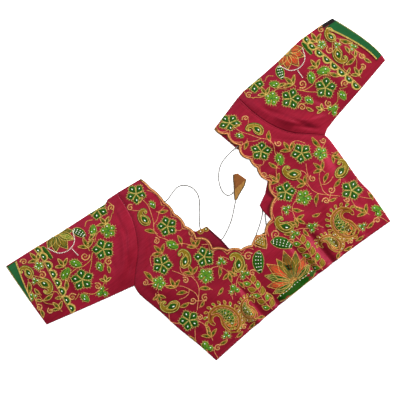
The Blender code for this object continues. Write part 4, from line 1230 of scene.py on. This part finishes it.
def mango(needle, size, hand):
    """A large mango: a border of gold satin stitch between couched lines, leaflets in its field, a green heart under a
    lattice of fine gold, and small leaves and pearls along its back."""
    spine = np.array(spine_of((-0.5 * size, 0), -25 * hand, 1.35 * size, 250 * hand, 2.0, 17))
    widths = np.array(PAISLEY) * 0.27 * size
    border = 0.055 * size
    left, right = sides_of(spine, widths)
    needle.couch("gold", [*left, *right[::-1], left[0]])
    for side in sides_of(spine, np.maximum(widths - border / 2 - 0.4, 0.4)):
        needle.fill("gold", side[:16], [border / 2] * 16, 0.9)
    needle.fill("gold", [left[0], spine[0] + (spine[1] - spine[0]) * 0.1, right[0]], [border / 2] * 3, 0.9)
    inner_left, inner_right = sides_of(spine, np.maximum(widths - border - 1.2, 0.4))
    needle.couch("coral", [*inner_left[1:13], *inner_right[1:13][::-1], inner_left[1]])
    needle.fill("olive", spine[1:14], np.maximum(widths[1:14] - border - 1.8, 0.4))
    needle.over = 0.4
    heart = np.array(LEAF) * 0.12 * size
    core = spine[2:11]
    needle.fill("dark green", core, heart)
    near, far = sides_of(core, heart + 0.6)
    needle.couch("pale gold", [*near, *far[::-1]])
    needle.over = 0.8
    near, far = sides_of(core, heart * 0.85)
    for step in range(1, 7):
        needle.couch("pale gold", [near[step], far[step + 1]])
        needle.couch("pale gold", [far[step], near[step + 1]])
        if step % 2:
            needle.stone("crystal", *core[step], 0, 2.2, 1.8)
    needle.over = 0.45
    run = np.gradient(spine, axis=0)
    for step in range(1, 13):
        heading = np.degrees(np.arctan2(run[step][1], run[step][0]))
        inside = np.interp(step, range(2, 11), heart, 0.0, 0.0) + 1.6
        room = widths[step] - border - 1.8 - inside
        if room > 2.0:
            for side in (-1, 1):
                start = spine[step] + np.array(headed(heading + 90 * side, inside))
                needle.leaf(tuple(start), heading + 58 * side, 1.1 * room, min(1.7, 0.28 * room) + 0.2,
                            ("gold", "light green", "coral")[step % 3], "gold", LEAF, rim=0.4)
    needle.over = 0.0
    outer, inner = (right, left) if hand > 0 else (left, right)
    for step in range(0, 15):
        (x, y), (bx, by) = outer[step], spine[step]
        away = np.degrees(np.arctan2(y - by, x - bx))
        reach = hypot(x - bx, y - by)
        start = (x + (x - bx) / reach * 1.6, y + (y - by) / reach * 1.6)
        needle.leaf(start, away + 24 * hand, 0.115 * size, 0.028 * size, ("gold", "light green", "olive")[step % 3],
                    "gold", LEAF, 40 * hand, rim=0.6)
        if step % 2:
            needle.stone("pearl", *start, 0, 1.8, 1.8)


lotus(Needle("back", *LOTUS, 0), LOTUS_PETALS)
ground = Needle("back", LOTUS[0], 19, 0)
ground.leaf((-46, 0), 0, 92, 8.0, "dark green", "pale gold", BAR)
ground.over = 0.4
beads_along(ground, "pearl", [(-38, 4), (38, 4)], 7.0, 2.0)
crescent(Needle("back", -31, 100, 54), 44, 10.5, -36)
crescent(Needle("back", 22, 100, 128), 44, 10.5, 36)
drop = Needle("back", -5.5, 141, -90)
drop.leaf((0, 0), 0, 28, 15, "olive", "orange gold", TRIANGLE, rim=1.4)
drop.leaf((2, 0), 0, 19, 10.5, None, "gold", TRIANGLE)
drop.over = 0.4
for row, count in ((4.5, 4), (9, 3), (13.5, 2), (18, 1)):
    beads_along(drop, "pearl", [(row, -2.4 * (count - 1)), (row, 2.4 * (count - 1) + 0.01)], 4.8, 1.7)

HEM_MOTIFS = [
    Motif("leaf", -58, 36, 14, 110), Motif("scroll", -56, 92, 6, 0), Motif("leaf", -88, 88, 15, 100),
    Motif("leaf", -192, 62, 15, 80), Motif("three", -105, 88, 20, 70), Motif("leaf", -126, 103, 14, 20),
    Motif("leaf", -150, 14, 15, 6), Motif("leaf", -120, 13, 15, 12), Motif("scroll", -134, 20, 5, 0),
    Motif("leaf", -98, 14, 14, 150), Motif("three", -172, 28, 15, 60), Motif("leaf", -62, 108, 15, 30),
    Motif("scroll back", -190, 88, 5, 40), Motif("sprig", -86, 112, 13, 60),
]
HEM_VINES = [
    [(-118, 76), (-114, 84), (-108, 88)], [(-96, 92), (-88, 100), (-74, 106)],
]
for other_half in (None, right_half):
    work("back", HEM_MOTIFS, HEM_VINES, other_half)
for other_half in (None, right_half):
    mango(Needle("back", -153, 60, 84, other_half), 72, 1)
    mango(Needle("back", -105, 45, 98, other_half), 48, -1)
for x in (-70, 54):
    stem(Needle("back", x, 13, 90), 82)

# A coral loop is couched inside each scallop of the neck, with a gold bead where two of them meet. Along the left
# front's edge a line of near-black stitches is painted shadow, and two gold leaves are worked on its corner.
LOOP_DEPTH, LOOP_ROUND = 9.0, 4.5  # a loop hangs this deep at its ends, and is this much rounder than its scallop
for start, end in zip(NECK[1:], NECK[2:]):
    inwards = np.array([end.y - start.y, start.x - end.x]) / hypot(end.x - start.x, end.y - start.y)
    line = [np.array(blend(start[:2], end[:2], share))
            + inwards * (LOOP_DEPTH - (LOOP_ROUND + end.swell) * 4 * share * (1 - share))
            for share in np.linspace(0, 1, 9)]
    loop = Needle("back", 0, 0)
    loop.couch("coral", line)
    loop.stone("gold bead", *line[0], 0, 2.4, 2.4)
edge_shadow_line = Needle("flap", -1.6, 0)
edge_shadow_line.couch("wine", [station[:2] for station in FRONT_LEFT[4:1:-1]])
corner = Needle("flap", -80, 215.5, -14)
corner.leaf((-11, 0.5), 8, 12, 4.4, "gold", "gold", LOBE)
corner.leaf((1, 1.5), -8, 11, 3.8, "olive", "gold", LOBE)
corner.over = 0.4
corner.stone("crystal", -5, 1.2, 0, 2.6, 1.8)
corner.stone("crystal", 6, 0.8, 0, 2.6, 1.8)

# At the top fold of each sleeve hangs half a lotus with a string of pearls, between a crescent and a tall leaf.
FOLD_PETALS = ((-152, 28, 7), (-28, 28, 7), (-124, 33, 8), (-56, 33, 8), (-90, 35, 9))
PEARL_STRING = [(237, 372), (247, 353), (265, 346), (283, 353), (293, 372)]
for cloth, other_half, colours in (("right", None, ("coral", "coral")),
                                   ("left", left_sleeve, ("olive", "light green"))):
    petals = [(*petal, colours[place % 3 == 2]) for place, petal in enumerate(FOLD_PETALS)]
    lotus(Needle(cloth, 265, 388, 0, other_half), petals)
    string = Needle(cloth, 0, 0, 0, other_half)
    beads_along(string, "pearl", smooth_curve(PEARL_STRING, 24), 3.0, 2.1)
    beads_along(string, "pearl", [(258, 343), (257, 328)], 3.2, 2.1)
    crescent(Needle(cloth, 231, 362, 66, other_half), 28, 7.5, -30)
    string.leaf((299.5, 352), 90, 30, 3.4, "dark green", "pale gold", BAR)

# Both cuff bands are edged with couched gold lines. The hem and the armholes are top-stitched in crimson.
BAND_EDGES = (
    # the line of the sleeve, the next one in, the share of the way between them, and the thread
    (0, 1, 0.2, "yellow gold"), (0, 1, 0.6, "yellow gold"), (-1, -2, 0.3, "pale gold"),
)
for side in ("left", "right"):
    _, band_rows = bands[side]
    for row, following, share, gold in BAND_EDGES:
        edge = [blend(near[:2], far[:2], share) for near, far in zip(band_rows[row], band_rows[following])]
        Needle(side + " band", 0, 0).couch(gold, edge[1:-1])
seam_stitches = Needle("back", 0, 0)
seam_stitches.couch("crimson", [(x, hem_y(x) + HEM_TURN) for x in np.linspace(-212, 212, 90)])
for armhole, inwards in ((armhole_left, 3.0), (armhole_right, -3.0)):
    seam_stitches.couch("crimson", [(x + inwards, y) for x, y in armhole])

# What was worked is now made: couched lines first, one piece for each thread and cloth.
THREADS = {
    # thread: colours, metallic, roughness, pitch, length, width, height and lean of its stitches
    "gold": (("85602A", "B48A43"), 0.12, 0.42, 1.9, 3.2, 1.6, 1.3, 26),
    "yellow gold": (("88702E", "BCA256"), 0.12, 0.42, 1.9, 3.1, 1.55, 1.3, 26),
    "pale gold": (("7D702D", "AC9D53"), 0.12, 0.42, 1.8, 2.6, 1.3, 1.1, 24),
    "orange gold": (("83562D", "B48856"), 0.1, 0.45, 1.5, 3.6, 1.8, 1.6, 34),
    "coral": (("905028", "BE8054"), 0.0, 0.5, 2.0, 3.3, 1.65, 1.3, -24),
    "green": (("073C19", "125A2C"), 0.0, 0.5, 1.9, 2.5, 1.1, 0.9, 20),
    "crimson": (("460712", "590B1A"), 0.0, 0.5, 3.2, 2.4, 0.8, 0.6, 0),
    # the next, near-black thread is painted shadow along the left front's edge
    "wine": (("2A050B", "390711"), 0.0, 0.5, 1.5, 3.0, 2.2, 1.6, 30),
}
THREAD_RISE, THREAD_UNEVEN = 0.35, radians(9)  # height of a line's middle over the cloth, and how its stitches differ
CLOTH_NAMES = {"back": "back", "left": "sleeve_left", "right": "sleeve_right", "flap": "front_left",
               "left band": "cuff_band_left", "right band": "cuff_band_right"}
thread_trees = {}
for kind, (colours, metallic, roughness, *_rest) in THREADS.items():
    thread_trees[kind] = stitch_tree("Couched " + kind, thread(kind + " thread", colours, metallic, roughness))
for (cloth, kind), lines in couched.items():
    spots, ups, edges = [], [], []
    for line, over in lines:
        spans = max(1, round(length_of(line) / LINE_STEP))
        landed, up, hits = laid_on(cloth, even_spans(line, spans))
        for here in range(spans):
            if hits[here] or hits[here + 1]:
                edges.append((len(spots) + here, len(spots) + here + 1))
        spots.extend(landed + up * (THREAD_RISE + over) * MM)
        ups.extend(up)
    _, _, _, pitch, length, width, height, lean = THREADS[kind]
    add_grown(kind.replace(" ", "_") + "_thread_" + CLOTH_NAMES[cloth], thread_trees[kind], spots, edges, {"up": ups},
              "gold_thread", Pitch=pitch * MM, Length=length * MM, Width=width * MM, Height=height * MM,
              Lean=radians(lean), Uneven=THREAD_UNEVEN)

# Satin stitch fills each leaf and petal from side to side over a low padding, so it swells in the middle. The stitches
# slant a little, with painted highlight on each and painted shade between them. The sides of a fill are painted too.
SATINS = {
    # satin: colours of the stitches in the middle of a leaf, painted shade and highlight, and of those at its sides
    "dark green": ("042903", "064008", "1A5B11"), "light green": ("24540C", "51781B", "2E540E"),
    "olive": ("51400B", "725D11", "43320C"), "gold": ("59380C", "7F4F13", "4C2E0A"),
    "coral": ("8F2314", "B23C1F", "721D13"),
}
STITCH_PITCH = 1.1  # the true spacing is 0.4 mm, drawn coarser so that it shows
ACROSS = (-1.0, -0.62, 0.0, 0.62, 1.0)  # shares of the half width, from side to side
SWELL = (0.12, 0.74, 1.0, 0.74, 0.12)  # and the share of its height that a leaf has there


def satin_stitch(name, colours):
    """Parallel stitches across the leaf. The attribute holds the run along it, the way across in millimetres, and the
    share of the way from its middle to its side."""
    material, tree, shader = new_material(name, Roughness=0.45, Specular_Tint=linear("F0E090"))
    counted = add_node(tree, "ShaderNodeAttribute", {"attribute_name": "stitch"})
    slanted = add_node(tree, "ShaderNodeMapping", {}, {"Vector": counted.outputs["Vector"]})
    slanted.inputs["Rotation"].default_value = (0, 0, radians(14))
    slanted.inputs["Scale"].default_value = (1 / STITCH_PITCH,) * 3
    rows = add_node(tree, "ShaderNodeTexWave", {"bands_direction": "X"}, {"Vector": slanted.outputs["Vector"]},
                    Scale=ONE_BAND, Distortion=0.8, Detail=1.0)
    # The dark and light bands are painted shade between the stitches and painted highlight on them.
    tone = add_node(tree, "ShaderNodeValToRGB", {}, {"Fac": rows.outputs["Fac"]})
    tone.color_ramp.elements[0].color, tone.color_ramp.elements[1].color = linear(colours[0]), linear(colours[1])
    # The side colour is painted shade where the fill slopes down to the cloth; the dark green's sides are lighter
    # instead.
    parts = add_node(tree, "ShaderNodeSeparateXYZ", {}, {"Vector": counted.outputs["Vector"]})
    near_side = add_node(tree, "ShaderNodeMapRange", {"interpolation_type": "SMOOTHSTEP"},
                         {"Value": parts.outputs["Z"]}, From_Min=0.45, To_Max=0.85)
    side_shade_and_highlight = add_node(tree, "ShaderNodeMix", {"data_type": "RGBA"}, {"Factor": near_side.outputs["Result"]})
    tree.links.new(tone.outputs["Color"], side_shade_and_highlight.inputs[6])
    side_shade_and_highlight.inputs[7].default_value = linear(colours[2])
    relief = add_node(tree, "ShaderNodeBump", {}, {"Height": rows.outputs["Fac"]}, Strength=0.5, Distance=0.0003)
    tree.links.new(side_shade_and_highlight.outputs[2], shader.inputs["Base Color"])
    tree.links.new(relief.outputs["Normal"], shader.inputs["Normal"])
    return material


satins = {name: satin_stitch(name + " satin stitch", colours) for name, colours in SATINS.items()}
for (cloth, satin), leaves in filled.items():
    spots, counts, faces = [], [], []
    for spine, widths, height, over in leaves:
        line = np.array(spine)
        half = np.maximum(np.asarray(widths), 0.15)
        plan = line[:, None] + across(line)[:, None] * (half[:, None] * ACROSS)[..., None]
        landed, up, _ = laid_on(cloth, plan.reshape(-1, 2))
        rise = (np.minimum(1.0, half / half.max() * 1.6)[:, None] * SWELL * height).ravel()
        first, wide, long = len(spots), len(ACROSS), len(line)
        spots.extend(landed + up * ((over + rise)[:, None] * MM))
        gone = np.concatenate([[0], np.cumsum(np.hypot(*np.diff(line, axis=0).T))])
        counts.extend((gone[row], half[row] * share, abs(share)) for row in range(long) for share in ACROSS)
        for row in range(long - 1):
            for place in range(wide):
                corner, following = first + row * wide + place, first + row * wide + (place + 1) % wide
                faces.append((corner + wide, following + wide, following, corner))
        faces.append(tuple(first + place for place in range(wide)))
        faces.append(tuple(first + (long - 1) * wide + place for place in reversed(range(wide))))
    mesh = bpy.data.meshes.new("satin")
    mesh.from_pydata(np.array(spots).tolist(), [], faces)
    mesh.update()
    mesh.attributes.new("stitch", "FLOAT_VECTOR", "POINT").data.foreach_set("vector", np.array(counts).ravel())
    mesh.materials.append(satins[satin])
    mesh.shade_smooth()
    piece = bpy.data.objects.new(satin.replace(" ", "_") + "_satin_" + CLOTH_NAMES[cloth], mesh)
    bpy.context.scene.collection.objects.link(piece)
    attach(piece, "root")

# Stones and beads are sewn on through their settings: cut glass drops, white pearls and small gold beads.
STONES = {
    # kind: dark and light colour, metallic, roughness, height as a share of the width, sides, share of the top's width
    "crystal": (("9CA898", "F0F6EE"), 0.0, 0.08, 0.5, 8, 0.55),
    "pearl": (("9CA898", "F2EADA"), 0.0, 0.25, 0.9, 8, 0.0),
    "gold bead": (("93651B", "A8782C"), 0.5, 0.3, 0.9, 10, 0.0),
}
STONE_RISE = 0.7  # height of a stone's middle over the cloth


def stone_tree(name, material, sides, table):
    """Geometry Nodes that set a cut stone or a round bead on every point, turned and sized by its attributes."""
    tree = bpy.data.node_groups.new(name, "GeometryNodeTree")
    tree.interface.new_socket("Places", in_out="INPUT", socket_type="NodeSocketGeometry")
    tree.interface.new_socket("Table", in_out="INPUT", socket_type="NodeSocketFloat")
    tree.interface.new_socket("Stones", in_out="OUTPUT", socket_type="NodeSocketGeometry")
    given = add_node(tree, "NodeGroupInput")
    if table:
        cut = add_node(tree, "GeometryNodeMeshCone", {}, {"Radius Top": given.outputs["Table"]}, Vertices=sides,
                       Radius_Bottom=0.5, Depth=0.5)
    else:
        cut = add_node(tree, "GeometryNodeMeshUVSphere", {}, {}, Segments=sides, Rings=6, Radius=0.5)
    named = {label: add_node(tree, "GeometryNodeInputNamedAttribute", {"data_type": "FLOAT_VECTOR"}, {}, Name=label)
             for label in ("up", "heading", "size")}
    upright = add_node(tree, "FunctionNodeAlignRotationToVector", {"axis": "Z"},
                       {"Vector": named["up"].outputs["Attribute"]})
    turned = add_node(tree, "FunctionNodeAlignRotationToVector", {"axis": "X", "pivot_axis": "Z"},
                      {"Rotation": upright.outputs["Rotation"], "Vector": named["heading"].outputs["Attribute"]})
    points = add_node(tree, "GeometryNodeMeshToPoints", {}, {"Mesh": given.outputs["Places"]})
    laid = add_node(tree, "GeometryNodeInstanceOnPoints", {}, {
        "Points": points.outputs["Points"], "Instance": cut.outputs["Mesh"], "Rotation": turned.outputs["Rotation"],
        "Scale": named["size"].outputs["Attribute"]})
    real = add_node(tree, "GeometryNodeRealizeInstances", {}, {"Geometry": laid.outputs["Instances"]})
    finished = add_node(tree, "GeometryNodeSetMaterial", {}, {"Geometry": real.outputs["Geometry"]})
    finished.inputs["Material"].default_value = material
    add_node(tree, "NodeGroupOutput", {}, {"Stones": finished.outputs["Geometry"]})
    return tree


stone_trees = {}
for kind, (colours, metallic, roughness, _, sides, table) in STONES.items():
    # Each stone's colour is mottled from dark to light: painted glints standing in for its reflections.
    glinting, glinting_tree, glinting_shader = new_material(kind + " glaze", Metallic=metallic, Roughness=roughness)
    cloud_place = add_node(glinting_tree, "ShaderNodeTexCoord")
    cloud = add_node(glinting_tree, "ShaderNodeTexNoise", {}, {"Vector": cloud_place.outputs["Object"]}, Scale=300.0)
    glint = add_node(glinting_tree, "ShaderNodeValToRGB", {}, {"Fac": cloud.outputs["Fac"]})
    glint.color_ramp.elements[0].color, glint.color_ramp.elements[1].color = linear(colours[0]), linear(colours[1])
    glinting_tree.links.new(glint.outputs["Color"], glinting_shader.inputs["Base Color"])
    stone_trees[kind] = stone_tree("Set " + kind, glinting, sides, table)
for (cloth, kind), places in stones.items():
    _, _, _, share, _, table = STONES[kind]
    rows = np.array(places)
    landed, up, hits = laid_on(cloth, rows[:, :2])
    size = np.column_stack([rows[:, 4], rows[:, 5], rows[:, 5] * share * (2 if table else 1)]) * MM
    heading = np.column_stack([rows[:, 2], rows[:, 3], np.zeros(len(rows))])
    piece = add_grown(kind.replace(" ", "_") + "s_" + CLOTH_NAMES[cloth], stone_trees[kind],
                      (landed + up * (STONE_RISE + rows[:, 6:]) * MM)[hits], [],
                      {"up": up[hits], "heading": heading[hits], "size": size[hits]}, "gold_thread", Table=table * 0.5)
    if table:
        piece.data.shade_flat()
